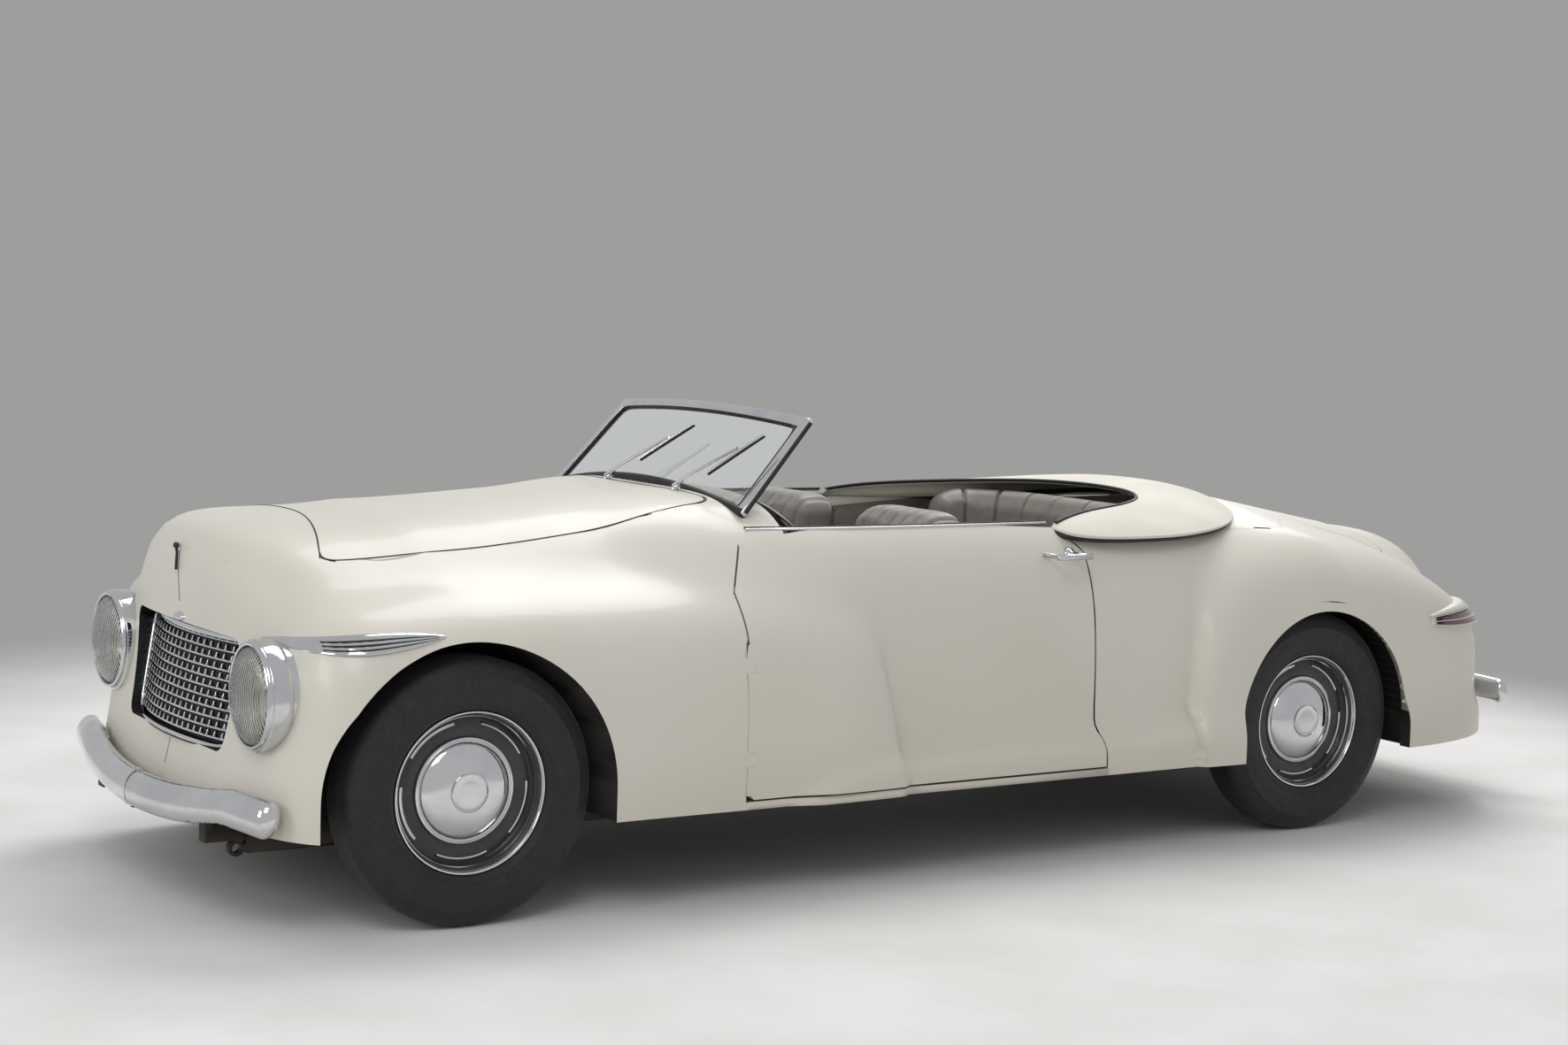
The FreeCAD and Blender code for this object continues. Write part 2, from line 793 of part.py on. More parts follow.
def grille():
    """Bowed and leaning grille: a frame, level bars and upright slats joined where they cross."""
    radius = (grille_top_half ** 2 + grille_bow ** 2) / (2 * grille_bow)
    height = grille_top_z - grille_bottom_z
    lean = math.degrees(math.atan(grille_lean / height))
    centre = V(front_axle_x + grille_front - radius, 0, grille_bottom_z - overrun)

    def layer(front, depth):
        outer = Part.makeCylinder(radius + front, height + 2 * overrun, centre)
        inner = Part.makeCylinder(radius + front - depth, height + 2 * overrun, centre)
        shell = outer.cut(inner)
        shell.rotate(V(front_axle_x + grille_front, 0, grille_bottom_z), V(0, 1, 0), -lean)
        return shell

    outline = grille_opening(-seat_gap)
    hole = grille_opening(-grille_frame)
    frame = layer(grille_frame_proud, grille_depth).common(outline.cut(hole))
    inside = grille_opening(-grille_frame / 2)
    bars = []
    pitch = height / (bar_count + 1)
    for i in range(1, bar_count + 1):
        z = grille_bottom_z + pitch * i
        bars.append(block(behind(0), along(-1) + overrun, -half_width, half_width,
                          z - bar_height / 2, z + bar_height / 2))
    slats = []
    spacing = 2 * grille_top_half / (slat_count + 1)
    for i in range(1, slat_count + 1):
        y = -grille_top_half + spacing * i
        slats.append(block(behind(0), along(-1) + overrun, y - slat_width / 2, y + slat_width / 2,
                           grille_bottom_z - overrun, grille_top_z + overrun))
    front = layer(0, bar_depth).common(inside)
    back = layer(-bar_depth / 2, bar_depth).common(inside)
    level_bars = front.common(Part.makeCompound(bars))
    upright = back.common(Part.makeCompound(slats))
    return joined([frame] + level_bars.Solids + upright.Solids)


def bowed_sheet(inward, front, depth):
    """A slab of the windscreen's bowed, raked surface, its edges drawn in by inward."""
    base_y = screen_base_half - inward
    top_y = screen_top_half - inward
    base_share = (base_y / screen_base_half) ** 2
    top_share = (top_y / screen_top_half) ** 2
    rake = V(screen_base_x - screen_top_x, 0, screen_top_z - screen_base_z)
    rake = rake / rake.Length
    outward = V(rake.z, 0, -rake.x)
    low = V(behind(screen_base_x), 0, screen_base_z) + rake * (inward - extra_foot(inward))
    high = V(behind(screen_top_x), 0, screen_top_z) - rake * inward

    def bow(middle, y, back, drop, share):
        end = middle + V(-back * share, 0, 0) + rake * (-drop * share)
        return arc(V(end.x, -y, end.z), middle, V(end.x, y, end.z))

    base = bow(low, base_y, screen_bow, screen_corner_drop, base_share)
    top = bow(high, top_y, screen_top_bow, screen_top_drop, top_share)
    sheet = Part.makeRuledSurface(base, top)
    sheet.translate(outward * front)
    return sheet.extrude(outward * -depth)


def extra_foot(inward):
    """The frame's outer edge runs on below the scuttle, where the body cuts it off."""
    return screen_foot if inward == 0 else 0


def windscreen(body):
    """Bowed screen frame on the scuttle, and the glass held inside it."""
    opening = bowed_sheet(screen_frame_width, screen_frame_depth, 3 * screen_frame_depth)
    frame = bowed_sheet(0, screen_frame_depth / 2, screen_frame_depth).cut(opening).cut(body)
    frame = max(frame.Solids, key=lambda s: s.Volume)
    glass = bowed_sheet(screen_frame_width + seat_gap, glass_thickness / 2, glass_thickness)
    glass = glass.cut(body)
    return frame, glass


def headlamp(body):
    """Left headlamp: drum, bezel and domed lens, seated on the wing's nose."""
    centre = V(front_axle_x + lamp_x, lamp_y, lamp_z)
    drum = bezel_radius - (bezel_radius - lamp_radius) / 3
    profile = [(0, -lamp_drum), (lamp_radius, -lamp_drum), (drum, -bezel_slope),
               (bezel_radius, -bezel_flat), (bezel_radius, -bezel_lip),
               (bezel_radius - bezel_lip, 0)]
    for i in range(lens_steps + 1):
        turn = math.pi / 2 * i / lens_steps
        profile.append((lamp_radius * math.cos(turn), lamp_dome * math.sin(turn)))
    return turned(profile, centre, V(1, 0, 0)).cut(body)


def proud(body, raised, zone):
    """A piece that lies on the skin: the raised form inside zone, seated on the body."""
    piece = raised.common(zone).cut(body)
    return max(piece.Solids, key=lambda s: s.Volume)


def bar_along(end, middle, height, depth):
    """A bar of oval section bowed between an end, the middle and the mirrored end."""
    sag = middle - V(end.x, 0, end.z)
    radius = (end.y ** 2 + sag.Length ** 2) / (2 * sag.Length)
    sag.normalize()
    centre = middle - sag * radius
    axis = sag.cross(V(0, 1, 0))
    half_angle = math.degrees(math.asin(abs(end.y) / radius))
    section = Part.Ellipse(middle + axis * height, middle + sag * depth, middle).toShape()
    face = Part.Face(Part.Wire([section]))
    bar = face.revolve(centre, axis, 2 * half_angle)
    bar.rotate(centre, axis, -half_angle)
    side = Part.Ellipse(middle + axis * height, middle + sag * depth, middle)
    half = Part.Arc(side, -math.pi, 0).toShape()
    flat = Part.Face(Part.Wire([half, Part.makeLine(middle + axis * height,
                                                    middle - axis * height)]))
    pieces = [bar]
    for way in (-1, 1):
        cap = flat.revolve(middle, axis, 360)
        cap.rotate(centre, axis, way * half_angle)
        pieces.append(cap)
    return joined(pieces)


def front_bumper():
    """Bowed bar round the nose on two irons that run forward from the rails."""
    middle = along(-1) + nose_inset - bumper_depth
    end = middle - bumper_bow
    drop = bumper_z - bumper_drop
    bar = bar_along(V(end, bumper_half, drop), V(middle, 0, bumper_z), bumper_height,
                    bumper_depth)
    low = body_bottom - panel_gap - 2 * iron_half_width
    pieces = [bar]
    for y in (-iron_y, iron_y):
        side = (y - iron_half_width, y + iron_half_width)
        pieces.append(block(front_axle_x + rail_front + seat_gap, middle - bumper_depth, side[0],
                            side[1], low, low + 2 * iron_half_width))
        pieces.append(block(along(-1) + panel_gap, middle - bumper_depth, side[0], side[1],
                            low, bumper_z))
    return joined(pieces)


def rear_iron(side, grow):
    """One rear bumper iron from the rail through the tail."""
    y = side * iron_y
    return block(along(2) - tail_inset + 2 * rear_bumper_depth,
                 behind(rail_rear) - seat_gap + grow, y - iron_half_width - grow,
                 y + iron_half_width + grow, rear_bumper_z - iron_half_width / 2 - grow,
                 rear_bumper_z + iron_half_width + grow)


def rear_bumper():
    """Slim bowed bar behind the tail on two irons."""
    middle = along(2) - tail_inset + rear_bumper_depth
    end = middle + rear_bumper_bow
    bar = bar_along(V(end, rear_bumper_half, rear_bumper_z), V(middle, 0, rear_bumper_z),
                    rear_bumper_height, rear_bumper_depth)
    return joined([bar, rear_iron(-1, 0), rear_iron(1, 0)])


def exhaust_pipe(grow):
    """Exhaust pipe's straight run under the car."""
    return rod(V(behind(exhaust_start), exhaust_y, exhaust_z),
               V(along(2), exhaust_y, exhaust_z), exhaust_radius + grow)


def chassis():
    """Two side rails that rise over the rear axle, cross members and tow eyes."""
    bottom = rail_bottom
    top = rail_bottom + rail_height
    raised = kick_up_height
    outline = [(rail_front, bottom), (rail_front, top), (-kick_up_start, top),
               (-kick_up_end, raised), (-kick_down_start, raised),
               (-kick_down_end, rail_rear_height), (-rail_rear, rail_rear_height),
               (-rail_rear, rail_rear_height - rail_height),
               (-kick_down_end, rail_rear_height - rail_height),
               (-kick_down_start, raised - rail_height), (-kick_up_end, raised - rail_height),
               (-kick_up_start - rail_height / 2, bottom)]
    points = [(front_axle_x + x, z) for x, z in outline]
    rail = side_plate(points, rail_y - rail_width / 2, rail_y + rail_width / 2)
    eye = V(front_axle_x + rail_front + tow_eye_radius, rail_y - tow_eye_width / 2,
            rail_bottom + tow_eye_rise)
    lug = Part.makeCylinder(tow_eye_radius, tow_eye_width, eye, V(0, 1, 0))
    root = block(eye.x - 2 * tow_eye_radius, eye.x, eye.y, eye.y + tow_eye_width,
                 eye.z - tow_eye_rise, eye.z + tow_eye_rise)
    rail = joined([rail, lug, root])
    rail = rail.cut(Part.makeCylinder(tow_eye_bore, tow_eye_width, eye, V(0, 1, 0)))
    inner = rail_y - rail_width / 2
    pieces = [rail, mirrored(rail)]
    for place in cross_member_places:
        pieces.append(block(behind(place) - cross_member, behind(place), -inner, inner,
                            bottom, top))
    rear = behind(rail_rear)
    pieces.append(block(rear, rear + cross_member, -inner, inner,
                        rail_rear_height - rail_height, rail_rear_height))
    middle = behind(kick_up_end)
    pieces.append(block(middle - cross_member, middle, -inner, inner, raised - rail_height,
                        raised))
    return joined(pieces).cut(exhaust_pipe(panel_gap))


def suspension_arms():
    """Left front tower on its rail, with an upper and a lower arm out to the kingpin."""
    kingpin = half_track - kingpin_inset
    outer = rail_y + rail_width / 2
    tower = block(front_axle_x - arm_spread, front_axle_x + arm_spread, rail_y - rail_width / 2,
                  outer, body_bottom, arm_high_z + arm_thickness)
    pieces = [tower]
    for z in (body_bottom, arm_high_z):
        points = [V(front_axle_x - arm_spread, outer, z), V(front_axle_x + arm_spread, outer, z),
                  V(front_axle_x + ball_radius, kingpin, z),
                  V(front_axle_x - ball_radius, kingpin, z)]
        plate = Part.Face(Part.makePolygon(points + points[:1]))
        pieces.append(plate.extrude(V(0, 0, arm_thickness)))
        pieces.append(Part.makeCylinder(ball_radius, arm_thickness, V(front_axle_x, kingpin, z)))
    return joined(pieces)


def knuckle():
    """Left steering knuckle: kingpin pillar, brake plate and wheel spindle."""
    kingpin = half_track - kingpin_inset
    low = body_bottom + arm_thickness + seat_gap
    plate_y = half_track - hub_reach - panel_gap - plate_thickness
    pillar = Part.makeCylinder(ball_radius, arm_high_z - seat_gap - low,
                               V(front_axle_x, kingpin, low))
    plate = Part.makeCylinder(plate_radius, plate_thickness,
                              V(front_axle_x, plate_y, tyre_radius), V(0, 1, 0))
    spindle = rod(V(front_axle_x, kingpin, tyre_radius),
                  V(front_axle_x, half_track + hub_cap_depth / 2, tyre_radius), spindle_radius)
    return joined([pillar, plate, spindle])


def rear_axle(rails):
    """Axle tube with the final drive, brake plates, spindles and leaf springs."""
    plate_y = half_track - hub_reach - panel_gap
    pieces = [Part.makeSphere(final_drive_radius, V(rear_axle_x, 0, tyre_radius))]
    leaf_z = tyre_radius - axle_tube_radius - spring_thickness + spring_sink
    rear_end = behind(spring_rear)
    front_end = behind(spring_front)
    below_rails = rails.translated(V(0, 0, -seat_gap * 2))
    for side in (-1, 1):
        pieces.append(rod(V(rear_axle_x, 0, tyre_radius),
                          V(rear_axle_x, side * plate_y, tyre_radius), axle_tube_radius))
        pieces.append(rod(V(rear_axle_x, side * (plate_y - plate_thickness), tyre_radius),
                          V(rear_axle_x, side * plate_y, tyre_radius), plate_radius))
        pieces.append(rod(V(rear_axle_x, side * (plate_y - plate_thickness), tyre_radius),
                          V(rear_axle_x, side * (half_track + hub_cap_depth / 2), tyre_radius),
                          spindle_radius))
        y0 = side * rail_y - spring_width / 2
        y1 = side * rail_y + spring_width / 2
        leaf = block(rear_end, front_end, y0, y1, leaf_z, leaf_z + spring_thickness)
        for x in (rear_end, front_end - shackle_length):
            shackle = block(x, x + shackle_length, y0, y1, leaf_z, kick_up_height - rail_height)
            leaf = leaf.fuse(shackle.cut(below_rails).Solids[0])
        pieces.append(leaf)
    return joined(pieces)


def engine():
    """Engine as one plain block on the cross members, with the gearbox behind it."""
    front = front_axle_x + engine_front
    rear = front - engine_length
    body = block(rear, front, -engine_width / 2, engine_width / 2, body_bottom, engine_top)
    centre = body_bottom + gearbox_radius
    return joined([body, rod(V(rear, 0, centre), V(rear - gearbox_length, 0, centre),
                             gearbox_radius)])


def drive_shaft():
    """Propeller shaft from the gearbox to the final drive."""
    start = V(front_axle_x + engine_front - engine_length - gearbox_length - seat_gap, 0,
              body_bottom + gearbox_radius)
    shaft = rod(start, V(rear_axle_x, 0, tyre_radius), shaft_radius)
    return shaft.cut(Part.makeSphere(final_drive_radius + seat_gap, V(rear_axle_x, 0, tyre_radius)))


def radiator():
    """Radiator on the front cross member."""
    x = front_axle_x + radiator_x
    return block(x, x + radiator_thickness, -radiator_half_width, radiator_half_width,
                 body_bottom, radiator_top)


def fuel_tank():
    """Fuel tank under the boot floor."""
    return block(behind(fuel_tank_rear), behind(fuel_tank_front), -fuel_tank_half_width,
                 fuel_tank_half_width, fuel_tank_bottom, underside_height - seat_gap)


def exhaust():
    """Silencer and pipe under the floor, out to the tail."""
    silencer = rod(V(behind(silencer_front), exhaust_y, exhaust_z),
                   V(behind(silencer_rear), exhaust_y, exhaust_z), silencer_radius)
    pieces = [exhaust_pipe(0), silencer]
    for place in (silencer_front, silencer_rear):
        pieces.append(block(behind(place) - exhaust_radius, behind(place) + exhaust_radius,
                            exhaust_y - exhaust_radius / 2, exhaust_y + exhaust_radius / 2,
                            exhaust_z, body_bottom - seat_gap))
    return joined(pieces)


def wheel(centre):
    """Left road wheel: rim, dished disc, hub and domed cap in one turned piece."""
    bore = spindle_radius + seat_gap
    blind = hub_cap_depth / 2 + seat_gap
    profile = [(bore, -hub_reach), (hub_radius, -hub_reach), (hub_radius, -disc_thickness),
               (disc_radius, 0), (disc_radius, -rim_half_width), (rim_radius, -rim_half_width),
               (rim_radius, rim_half_width), (ring_radius, rim_half_width - disc_thickness),
               (disc_radius, disc_thickness), (hub_cap_radius, disc_thickness)]
    for i in range(1, cap_steps):
        turn = math.pi / 2 * i / cap_steps
        profile.append((hub_cap_radius * math.cos(turn),
                        disc_thickness + hub_cap_depth * math.sin(turn)))
    profile += [(0, disc_thickness + hub_cap_depth), (0, blind), (bore, blind)]
    return turned(profile, centre)


def tyre(centre):
    """Road tyre round the rim."""
    seat = rim_radius + seat_gap
    half = tyre_width / 2
    widest = (seat + tyre_radius) / 2
    left = [(seat, rim_half_width), (widest, half), (shoulder_radius, shoulder_half),
            (tyre_radius, tread_half)]
    return turned(left + [(r, -y) for r, y in reversed(left)], centre)


def rounded(solid, radius):
    """A padded block with all its edges rounded."""
    return solid.makeFillet(radius, solid.Edges)


def front_seat():
    """Left front seat: cushion, leaning backrest and base."""
    y0 = seat_y - seat_width / 2
    y1 = seat_y + seat_width / 2
    rear = behind(cushion_rear)
    half = back_thickness / 2
    cushion = block(rear, rear + cushion_length, y0, y1, cushion_bottom,
                    cushion_bottom + cushion_height)
    low = cushion_bottom + cushion_height / 2
    back = side_plate([(rear + half, low), (rear - half, low), (rear - half - back_lean, back_top),
                       (rear + half - back_lean, back_top)], y0, y1)
    base = block(rear + seat_round, rear + cushion_length - seat_round, y0 + seat_round,
                 y1 - seat_round, body_bottom + floor_thickness + seat_gap,
                 cushion_bottom + seat_round)
    return joined([rounded(cushion, seat_round), rounded(back, seat_round), base])


def rear_seat(tunnel):
    """Rear cushion, its base, and the back that wraps round inside the hood cover."""
    floor = underside_height + panel_thickness + seat_gap
    front = behind(rear_cushion_front)
    keep = block(along(1) - overrun, front, -half_width, half_width, 0, deck_height + overrun)
    outer = well_outline(seat_gap, floor, rear_back_top)
    hollow = well_outline(rear_back_thickness, rear_cushion_top, rear_back_top + overrun)
    base = block(behind(underside_front) + panel_thickness + seat_gap, front - rear_base_inset,
                 -rear_base_half_width, rear_base_half_width,
                 body_bottom + floor_thickness + seat_gap, rear_cushion_top - seat_round)
    return joined([outer.cut(hollow).common(keep), base.cut(tunnel)])


def column_line():
    """Centre of the steering wheel and the direction of its column towards the driver."""
    direction = V(-column_lean_x, 0, column_lean_z)
    direction.normalize()
    return V(behind(wheel_x), wheel_y, wheel_z), direction


def column(grow):
    """Column tube from the bulkhead to the steering wheel's hub."""
    hub, direction = column_line()
    wall = along(bulkhead_x_share) - seat_gap
    start = hub - direction * (wheel_rim_tube + seat_gap)
    end = start - direction * ((wall - start.x) / column_lean_x + column_radius)
    beyond = block(wall, wall + overrun, 0, half_width, 0, deck_height)
    return rod(end, start, column_radius + grow).cut(beyond)


def dashboard(inner):
    """Instrument panel hung under the scuttle's rear edge, pierced by the column."""
    edge = along(scuttle_edge_share)
    panel = block(edge, edge + dash_depth, -dash_half_width, dash_half_width,
                  waist_height - dash_drop, deck_height)
    lower = inner.translated(V(0, 0, -seat_gap))
    return panel.common(lower).cut(column(panel_gap))


def steering_wheel():
    """Rim, spokes and hub about the column."""
    hub, direction = column_line()
    face = hub + direction * wheel_rim_tube
    pieces = [Part.makeTorus(wheel_rim_radius, wheel_rim_tube, face, direction),
              rod(hub - direction * wheel_rim_tube, face + direction * wheel_rim_tube,
                  wheel_hub_radius)]
    across = direction.cross(V(0, 1, 0))
    for i in range(spoke_count):
        turn = 2 * math.pi * i / spoke_count + math.pi / 2
        reach = V(0, 1, 0) * math.cos(turn) - across * math.sin(turn)
        pieces.append(rod(face, face + reach * wheel_rim_radius, spoke_radius))
    return joined(pieces)


def wiper(side):
    """Wiper arm and blade lying in front of the glass, on a post in the scuttle."""
    rake = V(screen_base_x - screen_top_x, 0, screen_top_z - screen_base_z)
    rake.normalize()
    outward = V(rake.z, 0, -rake.x)
    y = side * wiper_y
    foot = V(behind(screen_base_x), y, screen_base_z) + outward * wiper_stand_off
    tip = foot + rake * wiper_rise + V(0, -wiper_reach, 0)
    half_blade = V(0, wiper_blade_half, 0) - rake * wiper_blade_drop
    return joined([rod(foot - rake * wiper_post, foot + rake * wiper_radius, wiper_radius * 2),
                   rod(foot, tip, wiper_radius),
                   rod(tip - half_blade, tip + half_blade, wiper_radius)])


def door_handle(door):
    """Left door's pull handle on its two posts."""
    pieces = [rod(V(behind(handle_front), handle_y, handle_z),
                  V(behind(handle_rear), handle_y, handle_z), handle_radius)]
    for place in (handle_front + 2 * handle_radius, handle_rear - 2 * handle_radius):
        post = rod(V(behind(place), handle_y, handle_z), V(behind(place), cabin_half_width, handle_z),
                   handle_post_radius)
        pieces.append(post.cut(door))
    return joined(pieces)


def tunnel_prism(grow, x0, x1, z0):
    """The tunnel's section as a prism."""
    half = tunnel_half_width + grow
    return block(x0, x1, -half, half, z0, tunnel_height + grow)


def biggest(shape):
    """The largest solid of a shape."""
    return max(shape.Solids, key=lambda solid: solid.Volume)


def slab(x0, x1, z0, z1):
    """A full-width block between two places and two heights."""
    return block(x0, x1, -half_width - overrun, half_width + overrun, z0, z1)


def export(name, shape):
    """Writes one piece."""
    shape.exportStep("parts/" + name + ".step")


def pair(name, left):
    """Writes a left piece and its mirror image."""
    export(name + "_left", left)
    export(name + "_right", mirrored(left))


def main():
    os.makedirs("parts", exist_ok=True)
    top = deck_height + overrun
    floor_top = body_bottom + floor_thickness
    body = body_form()
    inner = body_form(panel_thickness)
    raised = body_form(-trim_height)
    shell = body.cut(inner)
    bonnet_lid = biggest(shell.common(lid_prism(0)))
    export("bonnet_lid", bonnet_lid)
    boot_lid = biggest(shell.common(boot_prism(0)))
    export("boot_lid", boot_lid)
    front_well, rear_well, front_well_right, rear_well_right = wheel_wells()
    cabin = cabin_space(inner)
    gap_zone = door_zone(panel_gap)
    door_gaps = [gap_zone, mirrored(gap_zone)]
    front_cut = door_hinge().x + panel_gap
    rear_cut = door_hinge().x - door_length - panel_gap
    middle = (front_cut + rear_cut) / 2
    tunnel_rear = behind(underside_front) - panel_gap
    tunnel_front = along(bulkhead_x_share) + bulkhead_thickness
    tunnel_room = tunnel_prism(seat_gap, tunnel_rear, tunnel_front, body_bottom - overrun)

    bay_rear = along(bulkhead_x_share) + bulkhead_thickness
    bay = block(bay_rear, along(bay_front_share), -bay_half_width, bay_half_width,
                body_bottom - overrun, top)
    plenum = block(along(upper_bulkhead_share) + bulkhead_thickness, bay_rear, -bay_half_width,
                   bay_half_width, bulkhead_step + bulkhead_thickness, top)
    arm_room = block(front_axle_x - arm_spread - panel_gap, front_axle_x + arm_spread + panel_gap,
                     -front_well_inner - panel_gap, front_well_inner + panel_gap,
                     body_bottom - overrun, arm_high_z + 2 * arm_thickness)
    front_body = body.common(slab(front_cut, along(-1) + overrun, 0, top)
                             .fuse(slab(middle, front_cut, floor_top, top)))
    hollows = [bay.fuse(plenum).common(inner), arm_room, front_well, front_well_right,
               lid_prism(panel_gap), grille_opening(0), tunnel_room]
    for space in hollows + cabin + door_gaps:
        front_body = front_body.cut(space)
    front_body = biggest(front_body)
    knuckles = [piece.common(body) for piece in hinge_knuckles(hinge_radius - seat_gap, 0)
                + hinge_webs()]
    front_body = front_body.multiFuse(knuckles + [mirrored(piece) for piece in knuckles]
                                      + rest_tabs(inner, lid_tab_places, lid_tab_y))
    front_body = biggest(front_body)
    export("front_body", front_body)

    boot = block(along(boot_rear_share), along(boot_front_share), -boot_half_width,
                 boot_half_width, boot_floor, top).common(inner)
    hood_well = block(along(boot_front_share) - panel_gap, along(cabin_rear_share)
                      - panel_thickness, -boot_half_width, boot_half_width, boot_floor,
                      cover_base - panel_thickness)
    underside = block(behind(underside_rear), behind(underside_front), -underside_half_width,
                      underside_half_width, body_bottom - overrun, underside_height)
    axle_room = block(rear_axle_x - axle_tube_radius - panel_gap,
                      rear_axle_x + axle_tube_radius + panel_gap, -rear_well_inner - panel_gap,
                      rear_well_inner + panel_gap, body_bottom - overrun,
                      tyre_radius + axle_tube_radius + panel_gap)
    rear_body = body.common(slab(along(2) - overrun, rear_cut, 0, top)
                            .fuse(slab(rear_cut, middle, floor_top, top)))
    hollows = [rear_well, rear_well_right, boot, hood_well, underside, axle_room,
               boot_prism(panel_gap), cover_plan(panel_gap / 2), tunnel_room,
               rear_iron(-1, panel_gap), rear_iron(1, panel_gap)]
    for space in hollows + cabin + door_gaps:
        rear_body = rear_body.cut(space)
    rear_body = biggest(rear_body).multiFuse(rest_tabs(inner, boot_tab_places, boot_tab_y))
    rear_body = biggest(rear_body)
    export("rear_body", rear_body)

    tunnel = tunnel_prism(0, tunnel_rear, tunnel_front, body_bottom)
    hollow = tunnel_prism(-tunnel_wall, tunnel_rear, tunnel_front, body_bottom - overrun)
    plate = body.common(slab(rear_cut, front_cut, 0, floor_top))
    export("floor_pan", plate.fuse(tunnel).cut(hollow).removeSplitter())

    door = body.common(door_zone(0))
    for space in cabin + hinge_knuckles(hinge_radius, seat_gap):
        door = door.cut(space)
    door = biggest(door)
    pair("door", door)
    pair("door_handle", door_handle(door))

    cover = form(cover_rows()).cut(well_outline(0, 0, top))
    for zone in door_gaps:
        cover = cover.cut(zone)
    export("hood_cover", biggest(cover))

    rails = chassis()
    export("chassis_frame", rails)
    pair("front_suspension", suspension_arms())
    pair("knuckle", knuckle())
    export("rear_axle", rear_axle(rails))
    export("engine", engine())
    export("drive_shaft", drive_shaft())
    export("radiator", radiator())
    export("fuel_tank", fuel_tank())
    export("exhaust", exhaust())

    export("grille", grille())
    pair("headlamp", headlamp(body))
    export("front_bumper", front_bumper())
    export("rear_bumper", rear_bumper())
    frame, glass = windscreen(body)
    export("windscreen_frame", frame)
    export("windscreen_glass", glass)
    export("wiper_left", wiper(1).cut(body))
    export("wiper_right", wiper(-1).cut(body))
    lamp_zone = block(behind(tail_lamp_rear), behind(tail_lamp_front), tail_lamp_y, half_width,
                      tail_lamp_bottom, tail_lamp_top)
    pair("tail_lamp", proud(body, raised, lamp_zone))
    blade_zone = side_plate([(front_axle_x + blade_front, blade_bottom),
                             (front_axle_x + blade_front, blade_top),
                             (front_axle_x + blade_rear, blade_tip)], blade_y, half_width)
    pair("wing_blade", proud(body, raised, blade_zone))

    pair("front_seat", front_seat())
    export("rear_seat", rear_seat(tunnel_room))
    export("dashboard", dashboard(inner))
    export("steering_column", column(0))
    export("steering_wheel", steering_wheel())

    for name, x in (("front", front_axle_x), ("rear", rear_axle_x)):
        centre = V(x, half_track, tyre_radius)
        pair("wheel_" + name, wheel(centre))
        pair("tyre_" + name, tyre(centre))


if __name__ == "__main__":
    main()
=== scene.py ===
import math

import bpy
from mathutils import Matrix, Vector
from mathutils.bvhtree import BVHTree
from mathutils.interpolate import poly_3d_calc


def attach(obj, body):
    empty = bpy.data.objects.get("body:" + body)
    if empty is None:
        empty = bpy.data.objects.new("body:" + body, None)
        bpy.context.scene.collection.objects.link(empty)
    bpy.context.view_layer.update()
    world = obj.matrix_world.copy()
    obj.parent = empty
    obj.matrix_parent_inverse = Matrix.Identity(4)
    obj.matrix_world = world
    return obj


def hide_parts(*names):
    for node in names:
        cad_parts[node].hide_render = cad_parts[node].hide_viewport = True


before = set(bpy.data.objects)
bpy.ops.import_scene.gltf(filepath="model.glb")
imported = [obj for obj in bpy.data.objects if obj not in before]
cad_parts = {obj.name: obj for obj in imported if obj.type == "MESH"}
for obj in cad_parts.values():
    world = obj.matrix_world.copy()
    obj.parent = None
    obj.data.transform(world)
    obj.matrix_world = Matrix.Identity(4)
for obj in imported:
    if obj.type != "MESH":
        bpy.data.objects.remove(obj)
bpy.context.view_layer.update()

# An open roadster of the late forties. The body panels are the CAD's own, refined and laid on
# the smooth form that they were cut from. Trim, glass, wheels, lamps, seats and the hood cover
# are modelled here on that form.

# ---- The car's main places, in metres: axles, ends and tyres ----
FRONT_AXLE = 1.75
REAR_AXLE = -1.25
WHEELBASE = FRONT_AXLE - REAR_AXLE
NOSE_REACH = 0.56
TAIL_REACH = 1.10
HALF_WIDTH = 0.875
BOTTOM = 0.26
HEIGHT = 0.86
HALF_TRACK = 0.71
TYRE_RADIUS = 0.356
HALVES = (("left", 1), ("right", -1))


# ---- Making and finishing pieces ----
MERGE = 0.00002   # points nearer than this, in metres, become one


def deselect():
    if bpy.context.object and bpy.context.object.mode != "OBJECT":
        bpy.ops.object.mode_set(mode="OBJECT")
    bpy.ops.object.select_all(action="DESELECT")


def only(piece):
    """Makes a piece the one that the next operator works on."""
    deselect()
    piece.select_set(True)
    bpy.context.view_layer.objects.active = piece
    return piece


def edit(piece, kind="VERT"):
    """Opens a piece for editing with the whole of it selected."""
    only(piece)
    bpy.ops.object.mode_set(mode="EDIT")
    bpy.ops.mesh.select_mode(type=kind)
    bpy.ops.mesh.select_all(action="SELECT")


def shut():
    bpy.ops.object.mode_set(mode="OBJECT")


def between(a, b, count):
    return [a + (b - a) * k / (count - 1) for k in range(count)]


def apply_place():
    bpy.ops.object.transform_apply(location=True, rotation=True, scale=True)


def choose(piece, test, kind):
    """Opens a piece with only the faces or points selected whose centre passes the test."""
    edit(piece, kind)
    shut()
    mesh = piece.data
    for part in (*mesh.vertices, *mesh.edges, *mesh.polygons):
        part.select = False
    if kind == "FACE":
        for face in mesh.polygons:
            face.select = bool(test(face.center))
    else:
        for point in mesh.vertices:
            point.select = bool(test(point.co))
    bpy.ops.object.mode_set(mode="EDIT")
    bpy.ops.mesh.select_mode(type=kind)


